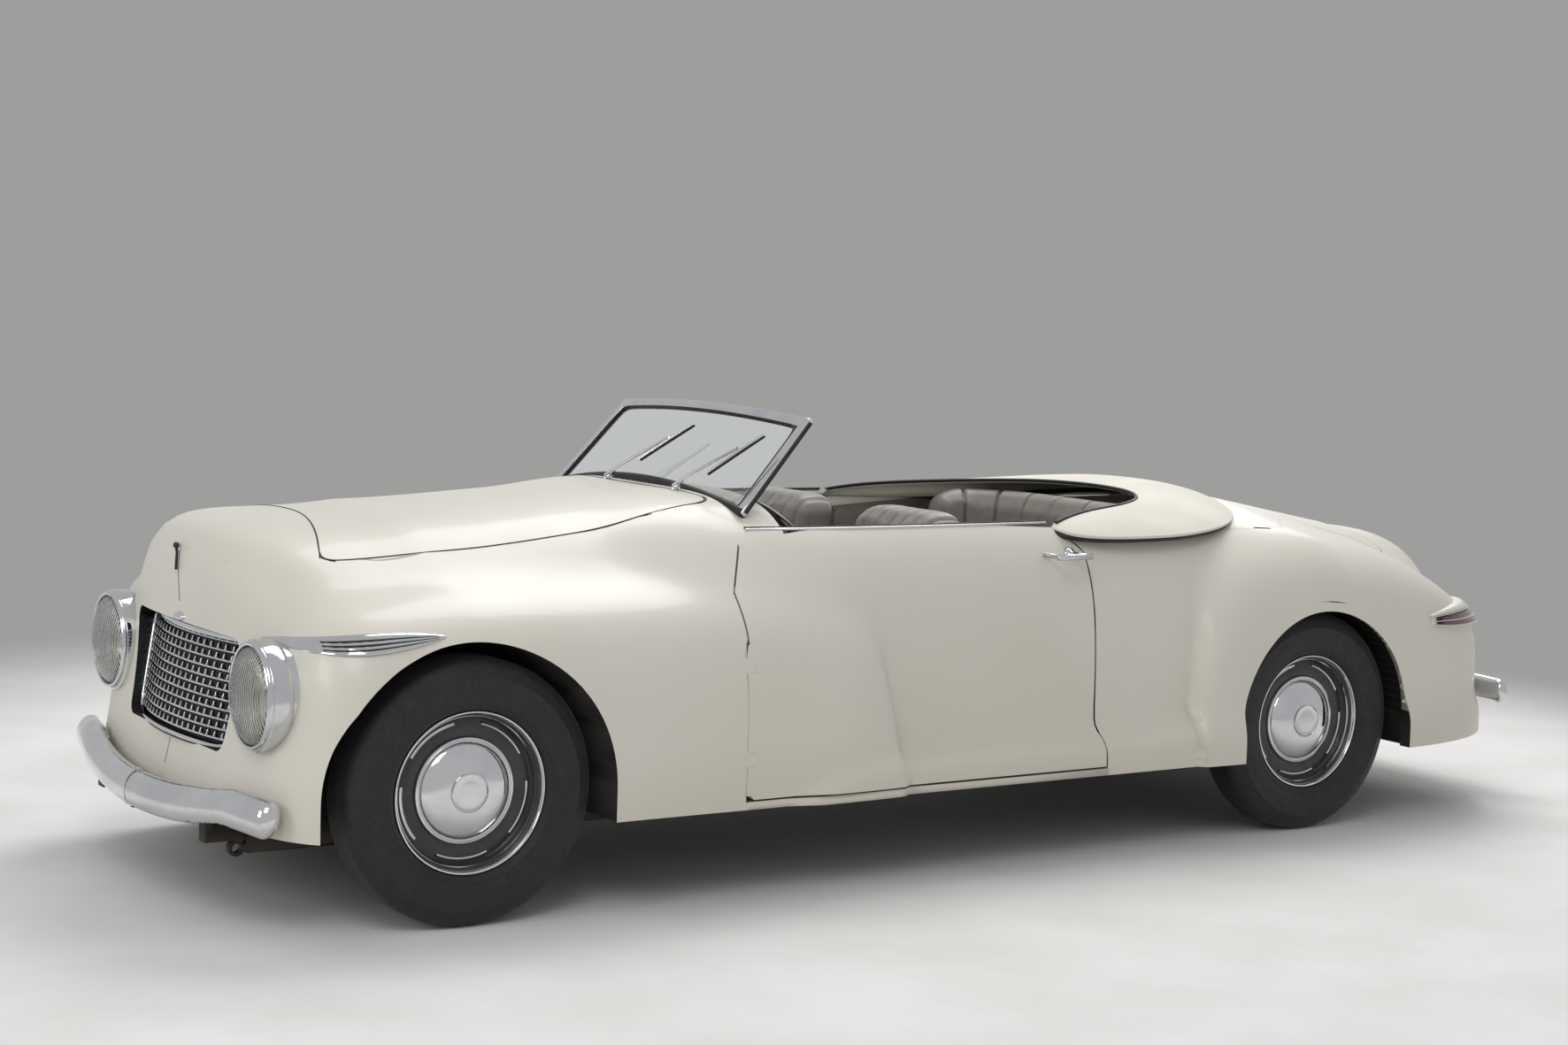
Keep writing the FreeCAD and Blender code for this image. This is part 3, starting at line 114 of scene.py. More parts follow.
def cut_out(piece, test):
    """Deletes the faces whose centre passes the test."""
    choose(piece, test, "FACE")
    bpy.ops.mesh.delete(type="FACE")
    shut()


def dropped(*pieces):
    """Removes patterns whose copies have been made."""
    for piece in pieces:
        bpy.data.objects.remove(piece)


def outward(piece):
    """Merges what coincides and turns the faces outwards."""
    edit(piece)
    bpy.ops.mesh.remove_doubles(threshold=MERGE)
    bpy.ops.mesh.normals_make_consistent(inside=False)
    shut()


def flipped(piece):
    edit(piece)
    bpy.ops.mesh.flip_normals()
    shut()


def facing_up(piece):
    """Turns a sheet over if most of it looks down."""
    if sum(face.normal.z for face in piece.data.polygons) < 0:
        flipped(piece)


def started(name):
    """Names the primitive that has just been added."""
    piece = bpy.context.object
    piece.name = name
    piece.data.name = name
    return piece


def block(name, low, high, round_off=0.0, steps=3):
    """A block between two corners with its edges rounded."""
    deselect()
    centre = [(a + b) / 2 for a, b in zip(low, high)]
    bpy.ops.mesh.primitive_cube_add(size=1, location=centre)
    piece = started(name)
    piece.scale = [b - a for a, b in zip(low, high)]
    apply_place()
    if round_off:
        edit(piece, "EDGE")
        bpy.ops.mesh.bevel(offset=round_off, segments=steps, affect="EDGES")
        shut()
    return piece


def turned(name, profile, centre, axis, steps, sweep=360.0):
    """As on a lathe: a point is extruded along (radius, place) pairs and spun about the axis."""
    deselect()
    centre, axis = Vector(centre), Vector(axis).normalized()
    across = Vector((0, 0, 1)) if abs(axis.z) < 0.9 else Vector((1, 0, 0))
    places = [centre + across * radius + axis * place for radius, place in profile]
    bpy.ops.mesh.primitive_plane_add(size=0.01, location=places[0])
    piece = started(name)
    edit(piece)
    bpy.ops.mesh.merge(type="CENTER")
    for a, b in zip(places, places[1:]):
        bpy.ops.mesh.extrude_region_move(TRANSFORM_OT_translate={"value": b - a})
    bpy.ops.mesh.select_all(action="SELECT")
    bpy.ops.mesh.spin(steps=steps, angle=math.radians(sweep), center=centre, axis=axis)
    outward(piece)
    apply_place()
    return piece


def tube(name, points, radius, closed=False, order=4, resolution=4):
    """A smooth line through the air with a round section, made a mesh."""
    deselect()
    bpy.ops.curve.primitive_nurbs_path_add(location=(0, 0, 0))
    piece = started(name)
    line = piece.data
    line.splines.clear()
    run = line.splines.new("NURBS")
    run.points.add(len(points) - 1)
    for spot, place in zip(run.points, points):
        spot.co = (*place, 1.0)
    run.use_cyclic_u = closed
    run.order_u = order
    run.use_endpoint_u = not closed
    run.resolution_u = resolution
    line.dimensions = "3D"
    line.bevel_depth = radius
    line.bevel_resolution = 3
    line.use_fill_caps = True
    only(piece)
    bpy.ops.object.convert(target="MESH")
    outward(piece)
    return piece


def moulded(piece, change):
    """Moves each point of a mesh to where change puts it."""
    for point in piece.data.vertices:
        point.co = change(point.co.copy())
    piece.data.update()
    return piece


def cut_across(piece, axis, low, high, count):
    """Cuts a long piece into count equal lengths, so that it can be bent."""
    for k in range(1, count):
        spot, normal = [0, 0, 0], [0, 0, 0]
        spot[axis], normal[axis] = low + (high - low) * k / count, 1
        edit(piece, "FACE")
        bpy.ops.mesh.bisect(plane_co=spot, plane_no=normal)
    shut()


def smooth(piece, angle):
    only(piece)
    bpy.ops.object.shade_smooth_by_angle(angle=math.radians(angle))
    return piece


def modified(piece, kind, **settings):
    """Adds a modifier and applies it."""
    only(piece)
    step = piece.modifiers.new(kind.title(), kind)
    for name, value in settings.items():
        setattr(step, name, value)
    bpy.ops.object.modifier_apply(modifier=step.name)
    return piece


def copied(piece, name, move=(0, 0, 0), mirror=False, turn=None):
    """A copy with its own mesh, moved, turned or on the car's other side."""
    only(piece)
    bpy.ops.object.duplicate()
    twin = started(name)
    if mirror:
        twin.scale = (1, -1, 1)
        apply_place()
        flipped(twin)
    if turn:
        edit(twin)
        bpy.ops.transform.rotate(value=math.radians(turn[0]), orient_axis=turn[1],
                                 orient_type="GLOBAL", center_override=turn[2])
        shut()
    twin.location = move
    apply_place()
    return twin


def joined(name, pieces):
    only(pieces[0])
    for piece in pieces[1:]:
        piece.select_set(True)
    if len(pieces) > 1:
        bpy.ops.object.join()
    return started(name)


def done(piece, body, material, slot, *stands_for):
    """A finished piece: its material, the body that it rides on and the nodes that it replaces."""
    only(piece)
    apply_place()
    if material:
        piece.data.materials.clear()
        piece.data.materials.append(material)
    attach(piece, body)
    if stands_for:
        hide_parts(*stands_for)
    return piece


def strip(name, points, radius, material, slot, *stands_for, body="car_body", **line):
    """A finished strip of round section, such as a bead or a seal."""
    made = smooth(tube(name, points, radius, **line), 60)
    return done(made, body, material, slot, *stands_for)


def both_sides(piece, name, material, slot, node):
    """Finishes a piece on the car's left and its mirror image on the right."""
    for half, way in HALVES:
        done(copied(piece, f"{name}_{half}", mirror=way < 0), "car_body", material, slot,
             f"{node}_{half}")
    dropped(piece)


def merged_copy(node, name, angle=32.0):
    """A copy of a CAD node's mesh with its loose triangles joined and shaded smooth."""
    deselect()
    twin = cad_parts[node].copy()
    twin.data = twin.data.copy()
    for key in list(twin.keys()):
        del twin[key]
    bpy.context.collection.objects.link(twin)
    twin.parent = None
    twin.matrix_world = Matrix.Identity(4)
    twin.name = name
    twin.data.name = name
    twin.hide_render = twin.hide_viewport = False
    edit(twin)
    bpy.ops.mesh.remove_doubles(threshold=MERGE)
    shut()
    return smooth(twin, angle)


# ---- Materials ----
def sheet_colour(value):
    """A colour written as on a paint card, as linear light."""
    parts = [int(value[i:i + 2], 16) / 255 for i in (1, 3, 5)]
    return [c / 12.92 if c <= 0.04045 else ((c + 0.055) / 1.055) ** 2.4 for c in parts] + [1.0]


def add(tree, kind, links=(), **settings):
    """Adds a node with its settings; links are (socket, value or another node's socket) pairs."""
    made = tree.nodes.new(kind) if isinstance(kind, str) else kind
    for name, value in settings.items():
        setattr(made, name, value)
    for socket, value in links:
        if isinstance(value, bpy.types.NodeSocket):
            tree.links.new(value, made.inputs[socket])
        else:
            made.inputs[socket].default_value = value
    return made


def finish(name, *facts):
    """A new material and its shader, whose constant numbers are given as (socket, value)."""
    material = bpy.data.materials.new(name)
    material.use_nodes = True
    tree = material.node_tree
    shader = tree.nodes["Principled BSDF"]
    add(tree, shader, facts)
    place = add(tree, "ShaderNodeTexCoord").outputs["Object"]
    return material, tree, shader, place


def two_tones(tree, shader, pattern, first, second, low=0.35, high=0.65):
    """Spreads two colours over the surface by a pattern."""
    share = add(tree, "ShaderNodeMapRange", [("Value", pattern), ("From Min", low),
                                             ("From Max", high)])
    tone = add(tree, "ShaderNodeMix", [(0, share.outputs[0]), (6, sheet_colour(first)),
                                       (7, sheet_colour(second))], data_type="RGBA")
    add(tree, shader, [("Base Color", tone.outputs[2])])
    return tone


def relief(tree, shader, pattern, depth, strength):
    """Raises the surface by a pattern, depth in metres."""
    bump = add(tree, "ShaderNodeBump", [("Height", pattern), ("Distance", depth),
                                        ("Strength", strength)])
    add(tree, shader, [("Normal", bump.outputs[0])])


def roughness(tree, shader, pattern, low, high):
    """Lets a pattern dull and polish the surface between two roughness values."""
    spread = add(tree, "ShaderNodeMapRange", [("Value", pattern), ("From Min", 0.3),
                                              ("From Max", 0.7), ("To Min", low),
                                              ("To Max", high)])
    add(tree, shader, [("Roughness", spread.outputs[0])])


def noise(tree, place, size, detail=3.0):
    """Soft random pattern whose patches are about size metres across."""
    return add(tree, "ShaderNodeTexNoise", [("Vector", place), ("Scale", 1 / size),
                                            ("Detail", detail)]).outputs["Fac"]


def plain_coat(name, facts, tones, dull, bump=None):
    """A coat varied by soft noise. Each list starts with the noise's patch size and detail:
    tones goes on with two colours, dull with the least and the most roughness, and bump with
    a depth in metres and a strength."""
    mat, tree, shader, place = finish(name, *facts)
    two_tones(tree, shader, noise(tree, place, *tones[:2]), *tones[2:])
    roughness(tree, shader, noise(tree, place, *dull[:2]), *dull[2:])
    if bump:
        relief(tree, shader, noise(tree, place, *bump[:2]), *bump[2:])
    return mat


def cellulose_lacquer():
    """Sprayed and hand-flatted cellulose lacquer: a soft gloss, faint orange peel, slow drifts
    of tone from panel to panel, and a little darker towards the bottom, below sill height."""
    mat, tree, shader, place = finish("cellulose_lacquer", ("IOR", 1.45), ("Coat Weight", 0.2),
                                      ("Coat Roughness", 0.12))
    tone = two_tones(tree, shader, noise(tree, place, 0.9), "#D6D2C7", "#CFCBBF")
    # darker towards the bottom: below 0.45 m the tone is mixed, up to 30 % at the bottom edge,
    # with a darker grey-brown
    low = add(tree, "ShaderNodeSeparateXYZ", [(0, place)])
    low_darkening = add(tree, "ShaderNodeMapRange", [("Value", low.outputs["Z"]), ("From Min", 0.26),
                                            ("From Max", 0.45), ("To Min", 0.3),
                                            ("To Max", 0.0)])
    darkened_low = add(tree, "ShaderNodeMix", [(0, low_darkening.outputs[0]), (6, tone.outputs[2]),
                                         (7, sheet_colour("#B9B2A2"))], data_type="RGBA")
    add(tree, shader, [("Base Color", darkened_low.outputs[2])])
    roughness(tree, shader, noise(tree, place, 0.25), 0.36, 0.44)
    # orange peel is 2 to 3 mm across on such paint; drawn at 5 mm so that it shows at all
    relief(tree, shader, noise(tree, place, 0.005, 1.0), 0.00004, 0.35)
    return mat


def leather():
    """Pigmented cowhide: fine pebbled grain of about 1 mm, soft creases and polished high spots.
    The grain is drawn at 3 mm, as finer would vanish at this distance."""
    mat, tree, shader, place = finish("cowhide_leather", ("IOR", 1.5), ("Sheen Weight", 0.12),
                                      ("Sheen Roughness", 0.4))
    pebble = add(tree, "ShaderNodeTexVoronoi", [("Vector", place), ("Scale", 330.0)],
                 feature="SMOOTH_F1").outputs["Distance"]
    crease = noise(tree, place, 0.05, 6.0)
    two_tones(tree, shader, crease, "#8B877F", "#7C7871", 0.3, 0.7)
    roughness(tree, shader, crease, 0.38, 0.55)
    blend = add(tree, "ShaderNodeMath", [(0, pebble), (1, crease)], operation="ADD")
    relief(tree, shader, blend.outputs[0], 0.0006, 0.5)
    return mat


def hood_cloth():
    """Rubber-backed hood duck, woven from 1 mm yarns: matt cream with a faint nap. The weave is
    drawn at 4 mm so that it shows."""
    mat, tree, shader, place = finish("hood_duck", ("IOR", 1.45), ("Roughness", 0.85),
                                      ("Sheen Weight", 0.3), ("Sheen Roughness", 0.5))
    two_tones(tree, shader, noise(tree, place, 0.25, 4.0), "#DEDACE", "#D3CEC0")
    threads = [add(tree, "ShaderNodeTexWave",
                   [("Vector", place), ("Scale", 80.0), ("Distortion", 0.6)],
                   bands_direction=way).outputs["Fac"] for way in ("X", "Y")]
    weave = add(tree, "ShaderNodeMath", [(0, threads[0]), (1, threads[1])],
                operation="MULTIPLY")
    relief(tree, shader, weave.outputs[0], 0.0004, 0.5)
    return mat


def carpet():
    """Cut-pile wool carpet: dark, matt tufts a few millimetres across that catch light at
    their tips."""
    mat, tree, shader, place = finish("wool_carpet", ("IOR", 1.5), ("Roughness", 0.95),
                                      ("Sheen Weight", 0.5), ("Sheen Roughness", 0.6))
    tuft = noise(tree, place, 0.005, 4.0)
    two_tones(tree, shader, tuft, "#2B2926", "#45413B")
    relief(tree, shader, tuft, 0.003, 0.8)
    return mat


def plate_glass():
    """Laminated plate glass: clear, faintly green, with the odd smear of a wiped screen."""
    mat, tree, shader, place = finish("plate_glass", ("IOR", 1.52), ("Transmission Weight", 1.0),
                                      ("Base Color", sheet_colour("#FAFDFB")))
    smear = add(tree, "ShaderNodeMapRange", [("Value", noise(tree, place, 0.15, 4.0)),
                                             ("From Min", 0.55), ("From Max", 0.8),
                                             ("To Min", 0.0), ("To Max", 0.05)])
    add(tree, shader, [("Roughness", smear.outputs[0])])
    return mat


def fluted_glass():
    """Pressed lamp glass: clear, with upright flutes about 9 mm apart that spread the light."""
    mat, tree, shader, place = finish("fluted_glass", ("IOR", 1.5), ("Transmission Weight", 1.0),
                                      ("Base Color", sheet_colour("#F6F7F5")))
    flutes = add(tree, "ShaderNodeTexWave", [("Vector", place), ("Scale", 35.0)],
                 bands_direction="Y").outputs["Fac"]
    add(tree, shader, [("Roughness", 0.06)])
    mottle = add(tree, "ShaderNodeMath", [(0, flutes), (1, noise(tree, place, 0.03))],
                 operation="ADD")
    relief(tree, shader, mottle.outputs[0], 0.0012, 0.5)
    return mat


def red_lens():
    """Moulded ruby lens: deep red, glossy, with level ribs 8 mm apart."""
    mat, tree, shader, place = finish("ruby_lens", ("IOR", 1.49), ("Coat Weight", 0.6),
                                      ("Transmission Weight", 0.35))
    two_tones(tree, shader, noise(tree, place, 0.02), "#5A0D0C", "#7A1512")
    ribs = add(tree, "ShaderNodeTexWave", [("Vector", place), ("Scale", 40.0)],
               bands_direction="Z").outputs["Fac"]
    roughness(tree, shader, ribs, 0.1, 0.25)
    relief(tree, shader, ribs, 0.003, 0.8)
    return mat


LACQUER = cellulose_lacquer()
# nickel-chrome plate on steel: a bright mirror with the faint waves of hand polishing
CHROME = plain_coat("chrome_plate", [("Metallic", 1.0)], (0.12, 3.0, "#DCDDDE", "#CFD1D3"),
                    (0.03, 3.0, 0.05, 0.11), (0.05, 1.0, 0.0004, 0.25))
# stoved enamels, moulded bakelite and extruded rubber: even dark surfaces, as glossy as the two
# numbers of their roughness say, with fine dust
BLACK_ENAMEL, WHEEL_ENAMEL, BAKELITE, SEAL = (
    plain_coat(name, [("IOR", 1.5)], (0.06, 3.0, first, second), (0.02, 3.0, low, high),
               (0.004, 1.0, 0.00005, 0.4))
    for name, first, second, low, high in (
        ("black_enamel", "#16171A", "#202124", 0.2, 0.35),
        ("wheel_enamel", "#2B2C2E", "#37383A", 0.28, 0.42),
        ("black_bakelite", "#120F0E", "#1B1715", 0.12, 0.25),
        ("rubber_seal", "#0E0E0E", "#171615", 0.4, 0.6)))
# brushed bituminous underseal: black, rough and pebbly, with road dust in the hollows
UNDERSEAL = plain_coat("bituminous_underseal", [("IOR", 1.5)],
                       (0.008, 5.0, "#14130F", "#221F1A"), (0.008, 5.0, 0.75, 0.95),
                       (0.008, 5.0, 0.002, 0.6))
# sand-cast and forged running gear: dark grey metal with a grainy skin and brown bloom
IRON = plain_coat("cast_iron", [("Metallic", 0.75)], (0.05, 5.0, "#3A3A3A", "#4A4038"),
                  (0.004, 6.0, 0.45, 0.7), (0.004, 6.0, 0.0006, 0.5))
# carbon-black rubber: deep matt black, slightly chalky where it has weathered
RUBBER = plain_coat("tyre_rubber", [("IOR", 1.52), ("Sheen Weight", 0.08),
                                    ("Sheen Roughness", 0.5)],
                    (0.04, 5.0, "#141414", "#1D1C1B"), (0.01, 3.0, 0.55, 0.75),
                    (0.0025, 2.0, 0.0002, 0.4))
# spun and silvered lamp bowl: a soft mirror
SILVERED = plain_coat("silvered_bowl", [("Metallic", 1.0)], (0.03, 3.0, "#E9E9E6", "#D2D3D3"),
                      (0.01, 3.0, 0.12, 0.3))
# printed tinplate dial, cream and slightly aged
DIAL = plain_coat("dial_face", [("Coat Weight", 0.8)], (0.02, 3.0, "#E6E0CC", "#DAD3BD"),
                  (0.01, 3.0, 0.4, 0.5))
LEATHER = leather()
DUCK = hood_cloth()
CARPET = carpet()
GLASS = plate_glass()
FLUTED = fluted_glass()
RUBY = red_lens()

# ---- The body's form, from the same shares as the panels ----
# place along the car (-1 nose, 0 front axle, 1 rear axle, 2 tail), then a share of the body's
# height above its bottom edge or of its half width
CENTRE_LINE = [(-1, 0.915), (-0.35, 0.92), (0, 0.937), (0.167, 0.965), (0.295, 0.992),
               (0.5, 1.0), (0.8, 0.965), (1.0, 0.925), (1.22, 0.877), (1.43, 0.84),
               (1.72, 0.78), (2, 0.78)]
BODY_SIDE = [(-1, 0.82), (0, 0.8), (0.167, 0.79), (0.283, 0.875), (0.4, 0.905),
             (0.8, 0.905), (1.0, 0.85), (1.55, 0.75), (2, 0.64)]
BODY_SQUARE = [(-1, 2.6), (0, 2.7), (0.167, 3.2), (0.283, 4.2), (0.4, 4.6),
               (0.8, 4.4), (1.0, 3.2), (2, 2.4)]
FRONT_WING_TOP = [(-1, 0.66), (-0.54, 0.71), (0, 0.74), (0.167, 0.745), (0.26, 0.735),
                  (0.32, 0.715), (0.38, 0.665), (0.408, 0.6), (0.425, 0.51),
                  (0.435, 0.39), (0.443, 0.22), (0.448, 0.05), (0.45, 0)]
FRONT_WING_SIDE = [(-1, 0.985), (0.233, 0.985), (0.367, 0.98), (0.433, 0.96), (0.45, 0.94)]
REAR_WING_TOP = [(0.82, 0), (0.822, 0.05), (0.825, 0.22), (0.83, 0.4), (0.838, 0.56),
                 (0.852, 0.68), (0.88, 0.78), (0.92, 0.83), (0.967, 0.845),
                 (1.04, 0.84), (1.24, 0.8), (1.5, 0.72), (1.66, 0.655), (1.78, 0.62),
                 (2, 0.57)]
REAR_WING_SIDE = [(0.82, 0.955), (0.84, 0.97), (0.9, 0.985), (1.27, 0.985), (1.73, 0.97),
                  (2, 0.93)]
SILL_TOP = [(0.32, 0), (0.35, 0.07), (0.43, 0.14), (0.5, 0.155), (0.77, 0.17),
            (0.83, 0.19), (2, 0.19)]
SILL_SIDE = 0.975
WING_SQUARE = 5.5
BLEND_POWER = 18.0   # how sharply one oval gives way to the next, and the share kept of it
BLEND_FIT = 0.985
NOSE_ROUND = 0.67 * NOSE_REACH
TAIL_ROUND = 0.87 * TAIL_REACH
RING_POINTS = 168
END_STEPS = 32
FINE_STEP, PLAIN_STEP = 0.003, 0.01
MIDDLE_PLACES = [-0.15, 0, 0.1, 0.17, 0.22, 0.27, 0.31, 0.345, 0.375, 0.4, 0.415, 0.43, 0.441,
                 0.45, 0.48, 0.58, 0.7, 0.78, 0.818, 0.826, 0.836, 0.852, 0.88, 0.93, 1.0, 1.07]


def curve(shares, place):
    """Value at a place of the smooth line through listed points, with no overshoot."""
    if place <= shares[0][0]:
        return shares[0][1]
    if place >= shares[-1][0]:
        return shares[-1][1]
    spans = list(zip(shares, shares[1:]))
    slopes = [(b[1] - a[1]) / (b[0] - a[0]) for a, b in spans]
    tangents = [slopes[0]]
    for left, right in zip(slopes, slopes[1:]):
        tangents.append(0.0 if left * right <= 0 else 2 * left * right / (left + right))
    tangents.append(slopes[-1])
    for i, (a, b) in enumerate(spans):
        if place <= b[0]:
            run = b[0] - a[0]
            t = (place - a[0]) / run
            return ((1 + 2 * t) * (1 - t) ** 2 * a[1] + t * (1 - t) ** 2 * run * tangents[i]
                    + t * t * (3 - 2 * t) * b[1] + t * t * (t - 1) * run * tangents[i + 1])


def section_parts(place):
    """The ovals that make up the section at a place: side, top and squareness of each."""
    parts = [(curve(BODY_SIDE, place), curve(CENTRE_LINE, place), curve(BODY_SQUARE, place))]
    for side, top in ((FRONT_WING_SIDE, FRONT_WING_TOP), (REAR_WING_SIDE, REAR_WING_TOP)):
        height = curve(top, place)
        if height > 0:
            parts.append((curve(side, place), height, WING_SQUARE))
    flare = curve(SILL_TOP, place)
    if flare > 0:
        parts.append((SILL_SIDE, flare, WING_SQUARE))
    return parts


def section_radius(parts, angle):
    """The section's reach at an angle: the ovals run softly into each other."""
    radii = []
    for side, top, square in parts:
        across = abs(math.cos(angle)) / (side * HALF_WIDTH)
        up = abs(math.sin(angle)) / (top * HEIGHT)
        radii.append((across ** square + up ** square) ** (-1 / square))
    widest = max(radii)
    total = sum((radius / widest) ** BLEND_POWER for radius in radii)
    return widest * total ** (1 / BLEND_POWER) * BLEND_FIT


def place_of(x):
    """A length along the car as a place in the share tables."""
    if x > FRONT_AXLE:
        return (FRONT_AXLE - x) / NOSE_REACH
    if x < REAR_AXLE:
        return 1 + (REAR_AXLE - x) / TAIL_REACH
    return (FRONT_AXLE - x) / WHEELBASE


def along(place):
    """A place in the share tables as a length along the car."""
    if place < 0:
        return FRONT_AXLE - place * NOSE_REACH
    if place > 1:
        return REAR_AXLE - (place - 1) * TAIL_REACH
    return FRONT_AXLE - place * WHEELBASE


def form_point(x, parts, shrink, angle, hollow):
    """One point of a ring. A hollow pulls the middle of its height back, as on the nose."""
    radius = section_radius(parts, min(angle, math.pi - angle)) * shrink
    z = radius * math.sin(angle)
    rise = min(max(z / HEIGHT - 0.05, 0), 0.8)
    return Vector((x - hollow * math.sin(math.pi * rise / 0.8), radius * math.cos(angle),
                   BOTTOM + z))


def form_rings():
    """Closely spaced rings from nose to tail through which the smooth skin runs."""
    angles = [math.pi * j / RING_POINTS for j in range(RING_POINTS + 1)]
    nose_base, tail_base = along(-1) - NOSE_ROUND, along(2) + TAIL_ROUND
    ends = []
    for base, reach, powers, hollow in ((nose_base, NOSE_ROUND, (3.4, 6.0), 0.05),
                                        (tail_base, -TAIL_ROUND, (3.0, 7.0), 0.0)):
        end = []
        for i in range(END_STEPS + 1):
            shrink = max(math.cos(math.pi / 2 * i / END_STEPS), 0.002)
            ring = []
            for angle in angles:
                power = powers[0] + (powers[1] - powers[0]) * math.sin(angle) ** 4
                forward = (1 - shrink ** power) ** (1 / power)
                x = base + reach * forward
                ring.append(form_point(x, section_parts(place_of(x)), shrink, angle,
                                       hollow * forward ** 2))
            end.append(ring)
        ends.append(end)
    nose, tail = ends
    stops = [place_of(nose_base), *MIDDLE_PLACES, place_of(tail_base)]
    middle = []
    for a, b in zip(stops, stops[1:]):
        wing_end = 0.4 <= a <= 0.45 or 0.81 <= a <= 0.9
        steps = max(2, round((b - a) / (FINE_STEP if wing_end else PLAIN_STEP)))
        for k in range(1, steps + 1):
            place = a + (b - a) * k / steps
            x, parts = along(place), section_parts(place)
            middle.append([form_point(x, parts, 1.0, angle, 0) for angle in angles])
    return nose[::-1] + middle[:-1] + tail


class Skin:
    """The car's smooth outer surface, for shading panels and for laying trim on it."""

    def __init__(self):
        rings = form_rings()
        wide = RING_POINTS + 1
        points = [p for ring in rings for p in ring]
        faces = []
        for i in range(len(rings) - 1):
            for j in range(RING_POINTS):
                a = i * wide + j
                faces.append((a, a + wide, a + wide + 1, a + 1))
        mesh = bpy.data.meshes.new("form")
        mesh.from_pydata(points, [], faces)
        mesh.update()
        self.points = points
        self.faces = faces
        self.normals = [n.vector.copy() for n in mesh.vertex_normals]
        if self.normals[len(points) // 2].z < 0:
            self.normals = [-n for n in self.normals]
        self.tree = BVHTree.FromPolygons(points, faces)
        bpy.data.meshes.remove(mesh)

    def nearest(self, place):
        """The closest point of the skin, its smooth normal there and the distance."""
        spot, _, face, distance = self.tree.find_nearest(place)
        corners = self.faces[face]
        weights = poly_3d_calc([self.points[i] for i in corners], spot)
        normal = sum((self.normals[i] * w for i, w in zip(corners, weights)), Vector())
        return spot, normal.normalized(), distance

    def seen(self, start, way):
        return self.tree.ray_cast(Vector(start), Vector(way))[0]

    def side(self, x, z, half=1):
        """The skin's place on one side (1 left, -1 right) at a height."""
        return self.seen((x, 2.0 * half, z), (0, -half, 0))

    def top(self, x, y):
        return self.seen((x, y, 3.0), (0, 0, -1))

    def front(self, z):
        """The nose's place on the centre line at a height."""
        return self.seen((4.0, 0, z), (-1, 0, 0))


SKIN = Skin()
SKIN_REACH = 0.028      # how far a CAD panel's outer face may lie from the smooth form
SKIN_FACING = 0.45      # and how much it has to look the same way
EDGE_WALL = 0.0355      # the cut edges of panels are painted to this depth,
PAINT_DEPTH = 0.008     # and whatever lies this close under the skin
LONGEST_EDGE = 0.045


def body_panel(node, name, body, inner):
    """A panel whose outer faces are refined and laid on the smooth skin, and shaded by it.
    inner picks the material of the faces that lie deeper."""
    panel = merged_copy(node, name, 30)
    mesh = panel.data
    mesh.materials.clear()
    kinds = [LACQUER, UNDERSEAL, LEATHER, CARPET, BLACK_ENAMEL]
    for kind in kinds:
        mesh.materials.append(kind)

    def outer_faces():
        near = [SKIN.nearest(point.co) for point in mesh.vertices]
        return near, [face for face in mesh.polygons
                      if max(near[i][2] for i in face.vertices) < SKIN_REACH
                      and face.normal.dot(near[face.vertices[0]][1]) > SKIN_FACING]

    for _ in range(3):
        _, outer = outer_faces()
        sides = {key for face in outer for key in face.edge_keys}
        edit(panel, "EDGE")
        bpy.ops.mesh.select_all(action="DESELECT")
        shut()
        long = 0
        for edge in mesh.edges:
            a, b = (mesh.vertices[i].co for i in edge.vertices)
            edge.select = edge.key in sides and (a - b).length > LONGEST_EDGE
            long += edge.select
        if not long:
            break
        bpy.ops.object.mode_set(mode="EDIT")
        bpy.ops.mesh.subdivide(number_cuts=1)
        shut()
    near, outer = outer_faces()
    on_skin = {i for face in outer for i in face.vertices}
    for i in on_skin:
        mesh.vertices[i].co = near[i][0]
    mesh.update()
    normals = [Vector((0, 0, 0))] * len(mesh.loops)
    skin_faces = {face.index for face in outer}
    for face in mesh.polygons:
        touching = any(i in on_skin for i in face.vertices)
        if face.index in skin_faces:
            for loop in face.loop_indices:
                normals[loop] = near[mesh.loops[loop].vertex_index][1]
            face.material_index = 0
        elif touching and max(near[i][2] for i in face.vertices) < EDGE_WALL:
            face.material_index = 0
        elif SKIN.nearest(face.center)[2] < PAINT_DEPTH:
            face.material_index = 0
        else:
            face.material_index = kinds.index(inner(face.center, face.normal))
    mesh.normals_split_custom_set(normals)
    return done(panel, body, None, "cream_paint", node)


# what a panel's deeper faces are made of, by their centre and normal
ARCH_REACH, ARCH_TOP = 0.42, 0.80
CABIN_HALF, CABIN_FLOOR = 0.70, 0.27


def front_inner(c, _):
    if abs(c.y) > 0.46 and abs(c.x - FRONT_AXLE - 0.016) < ARCH_REACH and c.z < ARCH_TOP:
        return UNDERSEAL
    if c.x < FRONT_AXLE - 0.61 and c.z > CABIN_FLOOR and abs(c.y) < CABIN_HALF:
        return CARPET if c.z < 0.60 else LEATHER
    return UNDERSEAL if c.z < 0.5 else BLACK_ENAMEL


def rear_inner(c, n):
    if c.z > 0.955 and abs(n.z) > 0.5 or c.x < -1.2 and c.z > 0.90:
        return LACQUER
    if abs(c.y) > 0.60 and abs(c.x - REAR_AXLE) < ARCH_REACH and c.z < ARCH_TOP:
        return UNDERSEAL
    if c.x > REAR_AXLE - 0.02 and c.z > 0.57:
        return LEATHER
    if c.x > FRONT_AXLE - 2.55 and abs(c.y) < CABIN_HALF and c.z > CABIN_FLOOR:
        return CARPET
    if c.z > 0.585 and c.x < FRONT_AXLE - 3.3:
        return CARPET
    return UNDERSEAL


